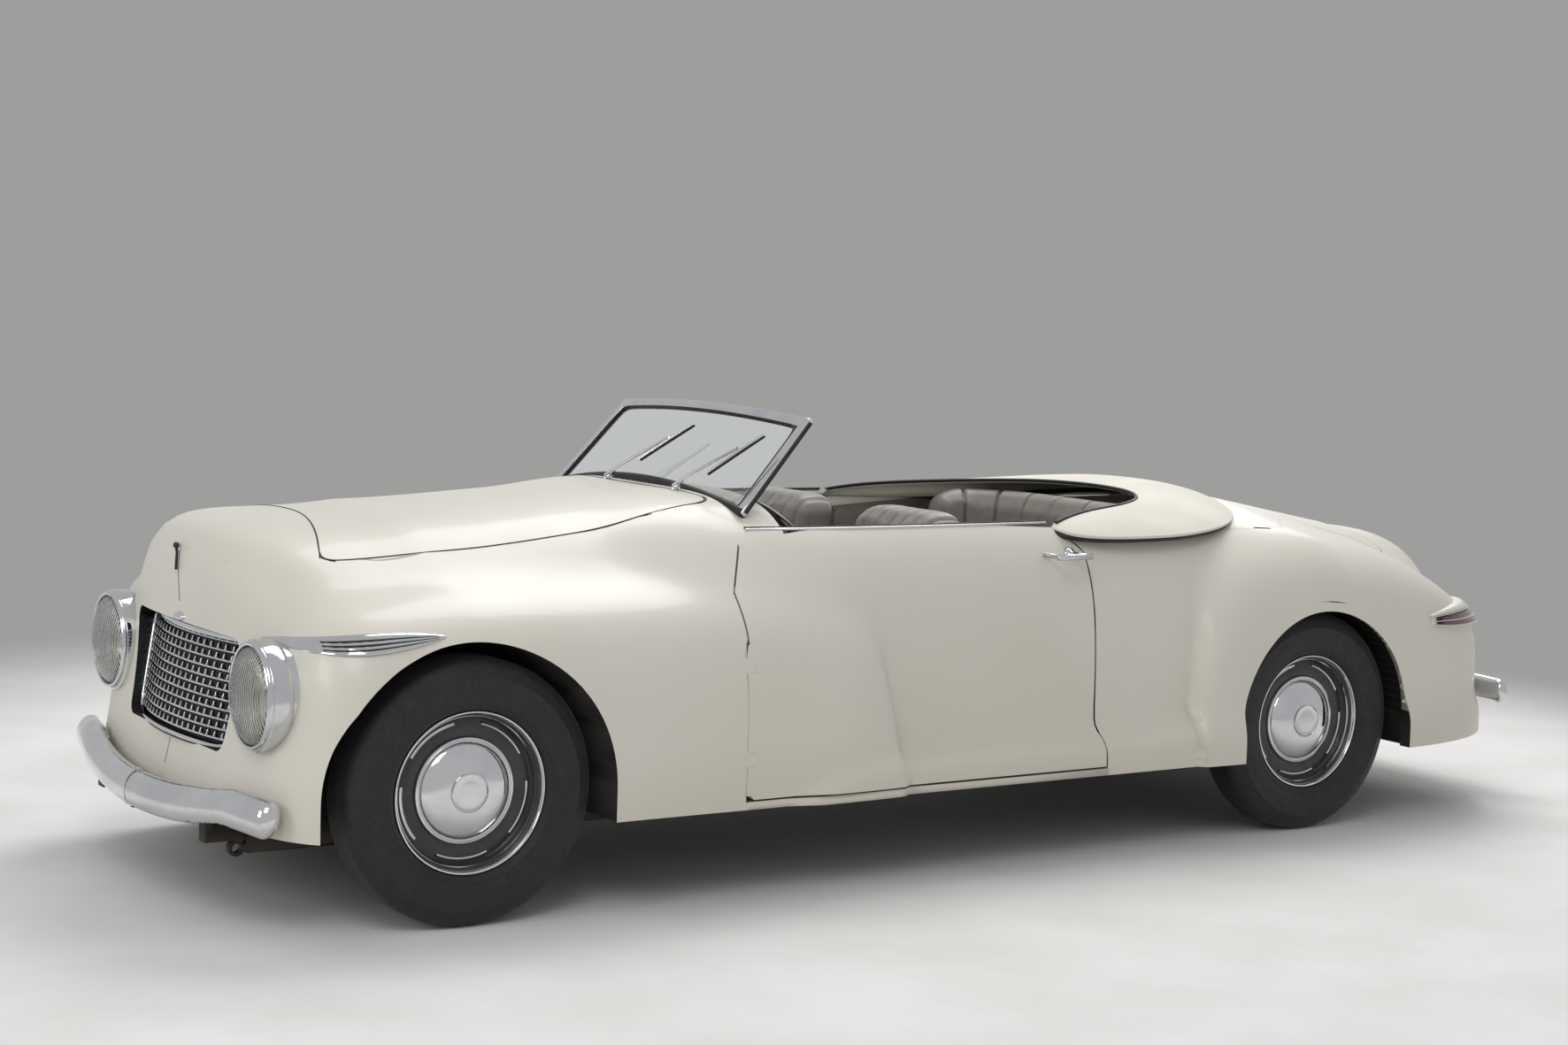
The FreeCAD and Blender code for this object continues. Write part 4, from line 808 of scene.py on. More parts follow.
body_panel("front_body", "front_panels", "car_body", front_inner)
body_panel("rear_body", "rear_panels", "car_body", rear_inner)
for half, _ in HALVES:
    body_panel(f"door_{half}", f"door_skin_{half}", f"door_{half}_body",
               lambda c, _: LEATHER if abs(c.y) < 0.705 and c.z < 1.017 else LACQUER)
for lid in ("bonnet", "boot"):
    body_panel(f"{lid}_lid", f"{lid}_skin", lid, lambda *_: BLACK_ENAMEL)

# ---- CAD pieces that only need their facets joined and a real finish ----
for node, name, body, material, slot in (
        ("door_handle_left", "handle_left", "door_left_body", CHROME, "bright_chrome"),
        ("door_handle_right", "handle_right", "door_right_body", CHROME, "bright_chrome"),
        ("chassis_frame", "chassis_rails", "car_body", IRON, "cast_metal"),
        ("front_suspension_left", "wishbones_left", "car_body", IRON, "cast_metal"),
        ("front_suspension_right", "wishbones_right", "car_body", IRON, "cast_metal"),
        ("knuckle_left", "stub_axle_left", "steered_left", IRON, "cast_metal"),
        ("knuckle_right", "stub_axle_right", "steered_right", IRON, "cast_metal"),
        ("rear_axle", "live_axle", "car_body", IRON, "cast_metal"),
        ("drive_shaft", "propeller_shaft", "car_body", IRON, "cast_metal"),
        ("exhaust", "silencer_and_pipe", "car_body", IRON, "cast_metal"),
        ("fuel_tank", "petrol_tank", "car_body", BLACK_ENAMEL, "black_paint"),
        ("engine", "engine_block", "car_body", IRON, "cast_metal"),
        ("radiator", "radiator_core", "car_body", BLACK_ENAMEL, "black_paint"),
        ("dashboard", "dash_panel", "car_body", LACQUER, "cream_paint"),
        ("steering_column", "column_tube", "car_body", BLACK_ENAMEL, "black_paint"),
        ("steering_wheel", "driving_wheel", "steering", BAKELITE, "black_plastic")):
    done(merged_copy(node, name), body, material, slot, node)


def by_place(node, name, slot, kinds, pick):
    """A joined copy whose faces take one of several materials by where they are."""
    piece = merged_copy(node, name, 40)
    piece.data.materials.clear()
    for kind in kinds:
        piece.data.materials.append(kind)
    for face in piece.data.polygons:
        face.material_index = pick(face.center, face.normal)
    done(piece, "car_body", None, slot, node)


by_place("floor_pan", "floor_and_sills", "black_paint", [CARPET, UNDERSEAL, LACQUER],
         lambda c, n: 2 if abs(c.y) > 0.79 and abs(n.y) > 0.3 else 1 if n.z < -0.3 else 0)
BAR_FOOT, BRACKET_HALF = 0.283, 0.47
for end, bar_back in (("front", 2.31), ("rear", 2.36)):
    by_place(f"{end}_bumper", f"bumper_{end}", "bright_chrome", [CHROME, IRON],
             lambda c, _: int((abs(c.x) < bar_back or c.z < BAR_FOOT)
                              and abs(c.y) < BRACKET_HALF))

# ---- Wheels and tyres ----
OUT = (0, 1, 0)
FINE_TURN = 96
TREAD_STEPS = 120


def road_wheel(hub):
    """One wheel's pieces about a hub centre on the left, its outside towards +Y: the black
    disc, then the bright trim ring, bead ring, five slot beads and cap."""
    disc = turned("disc", [(0.0243, -0.040), (0.058, -0.040), (0.058, -0.010), (0.120, -0.004),
                           (0.150, 0.006), (0.166, 0.012), (0.181, 0.009), (0.188, -0.004),
                           (0.189, -0.056), (0.205, -0.058), (0.2165, -0.060), (0.2175, -0.054),
                           (0.2175, 0.052), (0.208, 0.050), (0.203, 0.044), (0.200, 0.034),
                           (0.197, 0.020), (0.192, 0.016), (0.186, 0.0165), (0.170, 0.020),
                           (0.150, 0.018), (0.141, 0.014), (0.120, 0.012), (0.0243, 0.012),
                           (0.0243, -0.040)], hub, OUT, FINE_TURN)
    trim = turned("trim", [(0.2075, 0.048), (0.2085, 0.056), (0.2115, 0.0605), (0.2150, 0.0605),
                           (0.2178, 0.056), (0.2180, 0.049), (0.2075, 0.048)], hub, OUT,
                  FINE_TURN)
    inner = turned("inner_ring", [(0.1985, 0.036), (0.2000, 0.041), (0.2015, 0.0405),
                                  (0.2005, 0.035), (0.1985, 0.036)], hub, OUT, FINE_TURN)
    arc = turned("slot_bead", [(0.1775, 0.017), (0.1780, 0.0205), (0.1815, 0.0225),
                               (0.1855, 0.0205), (0.1862, 0.016), (0.1775, 0.017)], hub, OUT,
                 14, 47.0)
    arcs = [copied(arc, "slot_bead", turn=(360.0 / 5 * i + 14, "Y", hub)) for i in range(5)]
    dropped(arc)
    cap = turned("cap", [(0.128, 0.010), (0.1395, 0.012), (0.1425, 0.017), (0.1405, 0.0225),
                         (0.1350, 0.0240), (0.1325, 0.0215), (0.1310, 0.0215), (0.1285, 0.0260),
                         (0.120, 0.0330), (0.105, 0.0405), (0.085, 0.0465), (0.065, 0.0500),
                         (0.0545, 0.0510), (0.0535, 0.0490), (0.0520, 0.0490), (0.0510, 0.0535),
                         (0.0480, 0.0550), (0.0440, 0.0540), (0.030, 0.0552), (0.0, 0.0560)],
                 hub, OUT, FINE_TURN)
    return disc, [trim, inner, *arcs, cap]


def rounded_tyre(hub):
    """A ribbed tyre: its tread grooves run zigzag, and two ribs guard each wall."""
    half = [(0.2180, 0.054), (0.2215, 0.062), (0.2290, 0.0690), (0.2345, 0.0715), (0.2365, 0.0735),
            (0.2390, 0.0725), (0.255, 0.0785), (0.285, 0.0822), (0.305, 0.0810), (0.3085, 0.0822),
            (0.3115, 0.0800), (0.330, 0.0735), (0.343, 0.0655), (0.3505, 0.0560), (0.3545, 0.0480),
            (0.3560, 0.0400), (0.3560, 0.0330), (0.3500, 0.0315), (0.3500, 0.0280),
            (0.3560, 0.0265), (0.3560, 0.0130), (0.3500, 0.0115), (0.3500, 0.0080),
            (0.3560, 0.0065)]
    profile = half + [(r, -y) for r, y in reversed(half)] + [half[0]]
    shape = turned("tyre", profile, hub, OUT, TREAD_STEPS)
    tread_half, tread_floor, wave = 0.036, 0.349, 0.0022

    def zigzag(p):
        x, z = p.x - hub[0], p.z - hub[2]
        if abs(p.y - hub[1]) < tread_half and math.hypot(x, z) > tread_floor:
            turn = round(math.atan2(z, x) / (2 * math.pi / TREAD_STEPS))
            p.y += wave if turn % 2 else -wave
        return p
    return moulded(shape, zigzag)


first_hub = (FRONT_AXLE, HALF_TRACK, TYRE_RADIUS)
disc, brights = road_wheel(first_hub)
wheel_parts = ((disc, "wheel_disc", WHEEL_ENAMEL, "black_paint", "wheel"),
               (joined("brights", brights), "wheel_bright", CHROME, "bright_chrome", "wheel"),
               (rounded_tyre(first_hub), "tyre_tread", RUBBER, "tyre_rubber", "tyre"))
for piece, *_ in wheel_parts:
    smooth(piece, 40)
for end, x in (("front", FRONT_AXLE), ("rear", REAR_AXLE)):
    for half, way in HALVES:
        for piece, name, material, slot, node in wheel_parts:
            twin = copied(piece, f"{name}_{end}_{half}", (x - FRONT_AXLE, 0, 0), way < 0)
            done(twin, f"road_wheel_{end}_{half}", material, slot, f"{node}_{end}_{half}")
dropped(*(piece for piece, *_ in wheel_parts))

# ---- Headlamps ----
LAMP = (FRONT_AXLE + 0.520, 0.559, 0.611)
FORWARD = (1, 0, 0)
rim = turned("rim", [(0.1270, -0.010), (0.1270, 0.004), (0.1300, 0.0105), (0.1350, 0.0125),
                     (0.1405, 0.0085), (0.1425, 0.0020), (0.1420, -0.0020), (0.1455, -0.0040),
                     (0.1460, -0.0200), (0.1450, -0.0420), (0.1420, -0.0540), (0.1380, -0.0580),
                     (0.1360, -0.1100), (0.1250, -0.1150), (0.1270, -0.010)], LAMP, FORWARD,
             FINE_TURN)
bowl = turned("bowl", [(0.0150, -0.0800), (0.0450, -0.0760), (0.0750, -0.0640),
                       (0.1000, -0.0450), (0.1180, -0.0220), (0.1268, -0.0010),
                       (0.1268, -0.0040), (0.1180, -0.0250), (0.0, -0.0840)],
              LAMP, FORWARD, 64)
bulb = turned("bulb", [(0.0, -0.0300), (0.0090, -0.0340), (0.0130, -0.0430), (0.0120, -0.0560),
                       (0.0080, -0.0640), (0.0080, -0.0800), (0.0, -0.0800)], LAMP, FORWARD, 24)
lens = turned("lens", [(0.1265, 0.0040), (0.1240, 0.0095), (0.1150, 0.0165), (0.1000, 0.0240),
                       (0.0800, 0.0305), (0.0550, 0.0350), (0.0280, 0.0373), (0.0, 0.0380),
                       (0.0, 0.0340), (0.0280, 0.0333), (0.0550, 0.0310), (0.0800, 0.0265),
                       (0.1000, 0.0200), (0.1150, 0.0125), (0.1240, 0.0050), (0.1265, 0.0040)],
              LAMP, FORWARD, FINE_TURN)
for piece, name, material, slot in ((rim, "headlamp_rim", CHROME, "bright_chrome"),
                                    (bowl, "headlamp_bowl", SILVERED, "bright_chrome"),
                                    (bulb, "headlamp_bulb", FLUTED, "lamp_glass"),
                                    (lens, "headlamp_lens", FLUTED, "lamp_glass")):
    both_sides(smooth(piece, 40), name, material, slot, "headlamp")

# ---- Grille: bowed bars with upright teeth in a bright frame ----
GRILLE_LOW, GRILLE_HIGH = 0.43, 0.735
GRILLE_FOOT, GRILLE_HEAD = 0.36, 0.40       # half widths
GRILLE_BOW, GRILLE_LEAN = 0.06, 0.05
GRILLE_RADIUS = (GRILLE_HEAD ** 2 + GRILLE_BOW ** 2) / (2 * GRILLE_BOW)
BARS, TEETH = 11, 20


def on_grille(p):
    """Bows and leans a flat piece, drawn about x = 0, to the grille's front."""
    bow = GRILLE_RADIUS - math.sqrt(GRILLE_RADIUS ** 2 - p.y ** 2)
    lean = (p.z - GRILLE_LOW) * GRILLE_LEAN / (GRILLE_HIGH - GRILLE_LOW)
    return Vector((p.x + FRONT_AXLE + 0.545 - bow - lean, p.y, p.z))


bar = block("bar", (-0.018, -0.5, -0.0022), (0.0, 0.5, 0.0022), 0.0018, 2)
cut_across(bar, 1, -0.5, 0.5, 24)
tooth = block("tooth", (-0.012, -0.0034, 0.0), (0.001, 0.0034, 0.0155))
choose(tooth, lambda c: c.z > 0.01, "VERT")
bpy.ops.transform.resize(value=(0.7, 0.35, 1.0), center_override=(-0.006, 0, 0.0155))
shut()
modified(tooth, "BEVEL", width=0.0009, segments=2)
rows = []
for i in range(1, BARS + 1):
    share = i / (BARS + 1)
    z = GRILLE_LOW + (GRILLE_HIGH - GRILLE_LOW) * share
    reach = GRILLE_FOOT + (GRILLE_HEAD - GRILLE_FOOT) * share - 0.006
    row = copied(bar, "row")
    rows.append(moulded(row, lambda p: Vector((p.x, p.y * 2 * reach, p.z + z))))
    for j in range(TEETH):
        y = -reach + 2 * reach * (j + 0.5) / TEETH
        rows.append(copied(tooth, "tooth", (0, y, z + 0.0015)))
bars = joined("grille_bars", rows)
moulded(bars, on_grille)
done(smooth(bars, 40), "car_body", CHROME, "bright_chrome", "grille")
dropped(bar, tooth)


def grille_path(grow):
    """Points round the grille's outline, which grows by so much, closer at its corners."""
    low, high = GRILLE_LOW - grow, GRILLE_HIGH + grow
    wide, narrow = GRILLE_HEAD + grow, GRILLE_FOOT + grow
    corners = [Vector(p) for p in ((-wide, high), (wide, high), (narrow, low), (-narrow, low))]
    corner, steps = 0.03, 7
    points = []
    for i, here in enumerate(corners):
        before, after = corners[i - 1], corners[(i + 1) % 4]
        points.append(here + (before - here).normalized() * corner)
        start = here + (after - here).normalized() * corner
        stop = after + (here - after).normalized() * corner
        points += [start.lerp(stop, k / steps) for k in range(steps)]
    return [on_grille(Vector((0, p.x, p.y))) for p in points]


strip("grille_surround", grille_path(-0.004), 0.0065, CHROME, "bright_chrome", "grille",
      closed=True)
# a black line just outside the bright surround, set back: black channels at the grille's sides and
# foot, and along its top a painted shadow line above the bar
strip("grille_seam_and_shadow", [p + Vector((-0.004, 0, 0)) for p in grille_path(0.002)], 0.006, SEAL,
      "black_plastic", "grille", closed=True)
lintel = tube("lintel", [Vector((0, y, 0.724)) for y in between(-0.392, 0.392, 13)], 0.010)
moulded(lintel, lambda p: on_grille(Vector((p.x * 0.6 + 0.003, p.y, p.z))))
done(smooth(lintel, 60), "car_body", CHROME, "bright_chrome", "grille")
mesh_back = block("mesh_back", (-0.034, -0.395, 0.435), (-0.030, 0.395, 0.728))
cut_across(mesh_back, 1, -0.395, 0.395, 16)
moulded(mesh_back, on_grille)
done(mesh_back, "car_body", SEAL, "black_plastic", "grille")
boss = turned("nose_boss", [(0.0, 0.014), (0.010, 0.013), (0.017, 0.009), (0.020, 0.003),
                            (0.021, -0.010), (0.0, -0.010)], (0, 0, 0), FORWARD, 32)
moulded(boss, lambda p: Vector((p.x, p.y * 1.7, p.z * 0.62)) + SKIN.front(0.748))
done(smooth(boss, 50), "car_body", CHROME, "bright_chrome")

# ---- Bumper details ----
DIP, DIP_HALF, BAND_HALF = 0.055, 0.56, 0.011


def dipped(p):
    """The front bar dips towards its middle; its brackets don't."""
    if p.x > 2.30 and p.z > BAR_FOOT + 0.001:
        p.z -= DIP * max(0.0, 1 - (p.y / DIP_HALF) ** 2)
    return p


bar = moulded(bpy.data.objects["bumper_front"], dipped)
smooth(bar, 40)
band = merged_copy("front_bumper", "bumper_band")
edit(band)
bpy.ops.mesh.bisect(plane_co=(0, BAND_HALF, 0), plane_no=(0, 1, 0), clear_outer=True)
bpy.ops.mesh.select_all(action="SELECT")
bpy.ops.mesh.bisect(plane_co=(0, -BAND_HALF, 0), plane_no=(0, 1, 0), clear_inner=True)
bpy.ops.mesh.select_all(action="SELECT")
bpy.ops.transform.resize(value=(1.012, 1.0, 1.09), center_override=(2.37, 0, 0.338))
shut()
moulded(band, dipped)
done(band, "car_body", CHROME, "bright_chrome")

# ---- Lines of trim laid on the skin ----
WAIST = between(FRONT_AXLE - 0.915, FRONT_AXLE - 1.985, 9)
for half, way in HALVES:
    points = [SKIN.side(x, 1.0125, way) + Vector((0, 0.0015 * way, 0)) for x in WAIST]
    strip(f"waist_strip_{half}", points, 0.0045, CHROME, "bright_chrome",
          body=f"door_{half}_body")
    strip(f"waist_seal_{half}", [p + Vector((0, -0.007 * way, 0.0045)) for p in points], 0.0035,
          SEAL, "black_plastic", body=f"door_{half}_body")
for name, heights, radius in (("nose_seam", between(0.79, 0.93, 7), 0.0012),
                              ("apron_seam", between(0.415, 0.345, 5), 0.0010)):
    strip(name, [SKIN.front(z) for z in heights], radius, SEAL, "black_plastic")
# the left half of the bonnet's outline, from its front on the centre line to its rear
edge = [(1.965 + 0.0766 * (y / 0.429) ** 2, y) for y in between(0.0, 0.429, 9)]
edge += [(2.030, 0.4455), (2.0036, 0.452)] + [(x, 0.452) for x in between(1.93, 0.96, 14)]
edge += [(0.910, 0.452), (0.880, 0.4455), (0.858, 0.425), (0.848, 0.390)]
edge += [(0.884 - 0.036 * (y / 0.39) ** 2, y) for y in between(0.33, 0.0, 8)]
edge += [(x, -y) for x, y in reversed(edge[1:-1])]
strip("bonnet_seal", [SKIN.top(x, y) + Vector((0, 0, -0.0008)) for x, y in edge], 0.0026, SEAL,
      "black_plastic", closed=True, resolution=3)
stem = [SKIN.front(z) + Vector((0.007, 0, 0)) for z in (0.876, 0.892, 0.910, 0.928)]
spear = tube("nose_stem", stem + [SKIN.front(0.940) + Vector((0.014, 0, 0))], 0.004)
ball = turned("nose_ball", [(0.0, 0.009), (0.005, 0.008), (0.008, 0.004), (0.009, 0.0),
                            (0.008, -0.004), (0.005, -0.008), (0.0, -0.009)],
              SKIN.front(0.943) + Vector((0.013, 0, 0)), (0, 0, 1), 24)
done(smooth(joined("nose_handle", [spear, ball]), 60), "car_body", BLACK_ENAMEL, "black_paint")

# ---- Windscreen: a bowed and raked frame, its glass, seals and wipers ----
SCREEN_FOOT, SCREEN_HEAD = Vector((0.82, 0, 1.113)), Vector((0.60, 0, 1.341))
RAKE = (SCREEN_HEAD - SCREEN_FOOT).normalized()
OUTWARD = Vector((RAKE.z, 0, -RAKE.x))
SCREEN_RISE = (SCREEN_HEAD - SCREEN_FOOT).length
SCREEN_HALF, SCREEN_FRAME, PANE = 0.575, 0.022, 0.005


def on_screen(p):
    """Bends a flat piece (across in y, up in z, thickness in x) to the screen's surface."""
    share = (p.y / SCREEN_HALF) ** 2
    t = p.z / SCREEN_RISE
    y = p.y * (1 - t * 0.047)
    low = SCREEN_FOOT + Vector((-0.060 * share, 0, 0)) - RAKE * 0.078 * share
    high = SCREEN_HEAD + Vector((-0.042 * share, 0, 0)) - RAKE * 0.029 * share
    return low.lerp(high, t) + OUTWARD * p.x + Vector((0, y, 0))


def screen_sheet(name, half, low, high):
    """A sheet of the screen between two heights, with a line every 32 mm across."""
    deselect()
    bpy.ops.mesh.primitive_grid_add(x_subdivisions=36, y_subdivisions=10, size=1)
    return moulded(started(name), lambda p: Vector((0, 2 * half * p.x,
                                                    low + (p.y + 0.5) * (high - low))))


screen = screen_sheet("screen_frame", SCREEN_HALF, -0.01, SCREEN_RISE)
cut_out(screen, lambda c: abs(c.y) < 0.545 and c.z < 0.284)
modified(screen, "SOLIDIFY", thickness=SCREEN_FRAME, offset=0.0)
modified(screen, "BEVEL", width=0.006, segments=3, limit_method="ANGLE")
moulded(screen, on_screen)
done(smooth(screen, 50), "car_body", CHROME, "bright_chrome", "windscreen_frame")
pane = screen_sheet("screen_glass", 0.546, 0.01, SCREEN_RISE - 0.028)
modified(pane, "SOLIDIFY", thickness=PANE, offset=0.0)
moulded(pane, on_screen)
done(smooth(pane, 50), "car_body", GLASS, "lamp_glass", "windscreen_glass")

arch = [(0.004, -0.540, z) for z in between(0.0, 0.27, 6)]
arch += [(0.004, y, 0.287) for y in between(-0.525, 0.525, 13)]
arch += [(0.004, 0.540, z) for z in between(0.27, 0.0, 6)]
for name, places, radius in (
        ("glazing_seal", arch, 0.0055),
        ("glazing_seal_inside", [(-0.006, y, z) for _, y, z in arch], 0.0055),
        ("screen_gasket", [(0.0, y, -0.004) for y in between(-0.57, 0.57, 15)], 0.014),
        *((f"pillar_channel_{half}",
           [(0.0, 0.578 * way, z) for z in between(0.0, SCREEN_RISE - 0.01, 6)], 0.006)
          for half, way in HALVES),
        ("header_channel",
         [(-0.012, y, SCREEN_RISE - 0.004) for y in between(-0.56, 0.56, 13)], 0.005)):
    strip(name, [on_screen(Vector(p)) for p in places], radius, SEAL, "black_plastic",
          "windscreen_frame")

# each wiper: its spindle, the arm's tip and the two ends of its blade
for half, pivot, tip, low, high in (
        ("right", (0.871, -0.14, 1.103), (0.760, 0.052, 1.231), (0.830, -0.001, 1.162),
         (0.713, 0.116, 1.275)),
        ("left", (0.868, 0.268, 1.104), (0.766, 0.458, 1.225), (0.838, 0.410, 1.150),
         (0.716, 0.518, 1.268))):
    pivot, tip, low, high = (Vector(p) for p in (pivot, tip, low, high))
    lift = OUTWARD * 0.012
    post = turned("post", [(0.0, 0.030), (0.008, 0.029), (0.010, 0.024), (0.010, 0.010),
                           (0.015, 0.004), (0.016, -0.020), (0.0, -0.020)], pivot, RAKE, 24)
    arm = tube("arm", [pivot + lift, pivot.lerp(tip, 0.4) + lift * 1.4, tip + lift], 0.0042)
    holder = tube("holder", [low + lift, low.lerp(high, 0.5) + lift * 1.2, high + lift], 0.0036)
    done(smooth(joined(f"wiper_arm_{half}", [post, arm, holder]), 50), "car_body", CHROME,
         "bright_chrome", f"wiper_{half}")
    squeegee = tube(f"wiper_rubber_{half}", [low + lift * 0.5, high + lift * 0.5], 0.004, order=2)
    done(squeegee, "car_body", SEAL, "black_plastic", f"wiper_{half}")

# ---- Hood cover: one stretched cloth sheet round the rear seat ----
OUTER_EDGE = [(-0.255, 0.640, 1.004), (-0.275, 0.690, 0.990), (-0.330, 0.722, 0.982),
              (-0.420, 0.736, 0.978), (-0.550, 0.738, 0.977), (-0.700, 0.726, 0.979),
              (-0.840, 0.690, 0.986), (-0.960, 0.640, 0.996), (-1.070, 0.560, 1.010),
              (-1.155, 0.450, 1.025), (-1.215, 0.310, 1.040), (-1.245, 0.155, 1.048),
              (-1.252, 0.0, 1.050)]
INNER_EDGE = [(-0.268, 0.640, 1.012), (-0.360, 0.605, 1.028), (-0.460, 0.567, 1.038),
              (-0.560, 0.532, 1.044), (-0.660, 0.490, 1.049), (-0.750, 0.435, 1.054),
              (-0.825, 0.365, 1.059), (-0.880, 0.280, 1.064), (-0.915, 0.190, 1.067),
              (-0.930, 0.095, 1.069), (-0.934, 0.0, 1.070)]


def around(points, t):
    """A place on the smooth line through given points of the left half: 0 at the left tip,
    0.5 on the centre line, 1 at the right tip."""
    last = len(points) - 1
    place = min(t, 1 - t) * 2 * last
    i = min(int(place), last - 1)
    f = place - i
    a, b, c, d = (Vector(points[max(0, min(last, k))]) for k in range(i - 1, i + 3))
    spot = 0.5 * (2 * b + (c - a) * f + (2 * a - 5 * b + 4 * c - d) * f ** 2
                  + (3 * b - a - 3 * c + d) * f ** 3)
    return Vector((spot.x, spot.y if t < 0.5 else -spot.y, spot.z))


def on_cover(p):
    """Lays a flat sheet, 1 long and 1 wide, round the well: u along it, v from edge to well."""
    u, v = min(max(p.x + 0.5, 0), 1), min(max(p.y + 0.5, 0), 1)
    spot = around(OUTER_EDGE, u).lerp(around(INNER_EDGE, u), v)
    crown = 0.012 + 0.024 * math.sin(math.pi * u) ** 2
    spot.z += crown * math.sin(math.pi * v) ** 0.7 * min(1, 8 * u, 8 * (1 - u))
    return spot


deselect()
bpy.ops.mesh.primitive_grid_add(x_subdivisions=120, y_subdivisions=16, size=1)
cover = moulded(started("hood_cover_cloth"), on_cover)
outward(cover)
facing_up(cover)
modified(cover, "SOLIDIFY", thickness=0.008, offset=-1.0)
done(smooth(cover, 60), "car_body", DUCK, "hood_cloth", "hood_cover")
hem_line = [around(OUTER_EDGE, t) for t in between(0.0, 1.0, 49)]
strip("hood_cover_hem", [p + Vector((0, 0, -0.005)) for p in hem_line], 0.0055, DUCK,
      "hood_cloth", "hood_cover")
# a black strip tucked under the cover's edge: painted shadow, where the cloth's overhang shades
# the body below it
strip("hood_cover_shadow_strip",
      [Vector((p.x + 0.006, p.y * 0.982, p.z - 0.0145))
       for p in (around(OUTER_EDGE, t) for t in between(0.004, 0.996, 49))], 0.0085, SEAL,
      "black_plastic", "hood_cover")
strip("well_piping", [around(INNER_EDGE, t) + Vector((0, 0, 0.001))
                      for t in between(0.0, 1.0, 49)], 0.006, SEAL, "black_plastic", "hood_cover")

# painted deck between the cloth and the boot lid, over the seat that the solids cut for a
# larger cover: from SEAT_FRONT back, as long and as wide as the next two say
SEAT_FRONT, SEAT_LENGTH, SEAT_HALF = -0.71, 0.76, 0.77
deselect()
bpy.ops.mesh.primitive_grid_add(x_subdivisions=60, y_subdivisions=110, size=1)
deck = moulded(started("deck_panel"),
               lambda p: Vector((-0.90 + (p.x - 0.5) * 0.66, p.y * 1.56, 0)))


def off_deck(c):
    """Under the cloth, or beyond the seat that is cut for it."""
    low, high = 0.0, 0.5
    for _ in range(18):
        middle = (low + high) / 2
        low, high = (middle, high) if around(OUTER_EDGE, middle).x > c.x else (low, middle)
    covered = c.x > -1.225 and abs(c.y) < around(OUTER_EDGE, low).y - 0.035
    half = SEAT_HALF
    if c.x < SEAT_FRONT:
        turn = min((SEAT_FRONT - c.x) / SEAT_LENGTH, 1) ** (1 / 0.9)
        half *= max(math.cos(math.asin(turn)), 0.02) ** 0.8
    return covered or abs(c.y) > half + 0.004 or SKIN.top(c.x, c.y).z < 0.9745


cut_out(deck, off_deck)
moulded(deck, lambda p: SKIN.top(p.x, p.y) + Vector((0, 0, 0.0006)))
facing_up(deck)
smooth(deck, 60)
mesh = deck.data
mesh.normals_split_custom_set([SKIN.nearest(mesh.vertices[loop.vertex_index].co)[1]
                               for loop in mesh.loops])
done(deck, "car_body", LACQUER, "cream_paint", "rear_body")


# ---- Seats: covers filled by a cloth simulation, then pleated ----
PUFF = 0.022
PLEATS = between(0.175, 0.535, 7)
SEAT_MIDDLE, BACK_HALF_DEPTH = 0.355, 0.062


def cushion(shape):
    """Blows the cover out a little, as its padding would, by PUFF metres at most."""
    modified(shape, "REMESH", mode="VOXEL", voxel_size=0.0105)
    before = [point.co.copy() for point in shape.data.vertices]
    only(shape)
    step = shape.modifiers.new("Cloth", "CLOTH")
    step.settings.use_pressure = True
    step.settings.uniform_pressure_force = 4.0
    step.settings.effector_weights.gravity = 0.0
    step.settings.quality = 4
    for at in range(1, 21):
        bpy.context.scene.frame_set(at)
    bpy.ops.object.modifier_apply(modifier=step.name)
    bpy.context.scene.frame_set(1)
    for point, old in zip(shape.data.vertices, before):
        move = point.co - old
        if move.length > PUFF:
            point.co = old + move * (PUFF / move.length)
    shape.data.update()
    return modified(shape, "SUBSURF", levels=1)


def pleated(shape, lines, depth, width=0.006):
    """Draws seams into the padding at places across the car, except on faces that look there."""
    normals = [point.normal.copy() for point in shape.data.vertices]
    for point, normal in zip(shape.data.vertices, normals):
        if abs(normal.y) < 0.75:
            near = min(abs(point.co.y - line) for line in lines)
            point.co -= normal * depth * math.exp(-(near / width) ** 2)
    shape.data.update()
    return shape


def crown(p):
    """Rounds the backrest's top corners and leans it back."""
    side = max(0.0, abs(p.y - SEAT_MIDDLE) - 0.11) / 0.13
    drop = 0.11 * (1 - math.sqrt(max(0.0, 1 - min(side, 1) ** 2)))
    p.z -= drop * max(0.0, (p.z - 0.25) / 0.295)
    return Vector((0.200 + p.x - 0.14 * p.z / 0.56, p.y, 0.515 + p.z))


base = block("squab", (0.215, 0.115, 0.445), (0.760, 0.595, 0.590), 0.035, 4)
base = pleated(cushion(base), PLEATS, 0.010)
back = block("backrest", (-BACK_HALF_DEPTH, 0.115, 0.0), (BACK_HALF_DEPTH, 0.595, 0.545), 0.035,
             4)
choose(back, lambda c: c.z > 0.50 and abs(c.y - SEAT_MIDDLE) > 0.19, "VERT")
bpy.ops.transform.resize(value=(1, 0.93, 1), center_override=(0, SEAT_MIDDLE, 0.5))
shut()
back = moulded(pleated(cushion(back), PLEATS, 0.010), crown)
frame_block = block("seat_frame", (0.345, 0.155, 0.284), (0.755, 0.555, 0.460), 0.01)
for half, way in HALVES:
    for piece, name, material in ((base, "seat_cushion", LEATHER), (back, "seat_back", LEATHER),
                                  (frame_block, "seat_base", BLACK_ENAMEL)):
        twin = copied(piece, f"{name}_{half}", mirror=way < 0)
        done(smooth(twin, 60), "car_body", material, "seat_leather", f"front_seat_{half}")
dropped(base, back, frame_block)

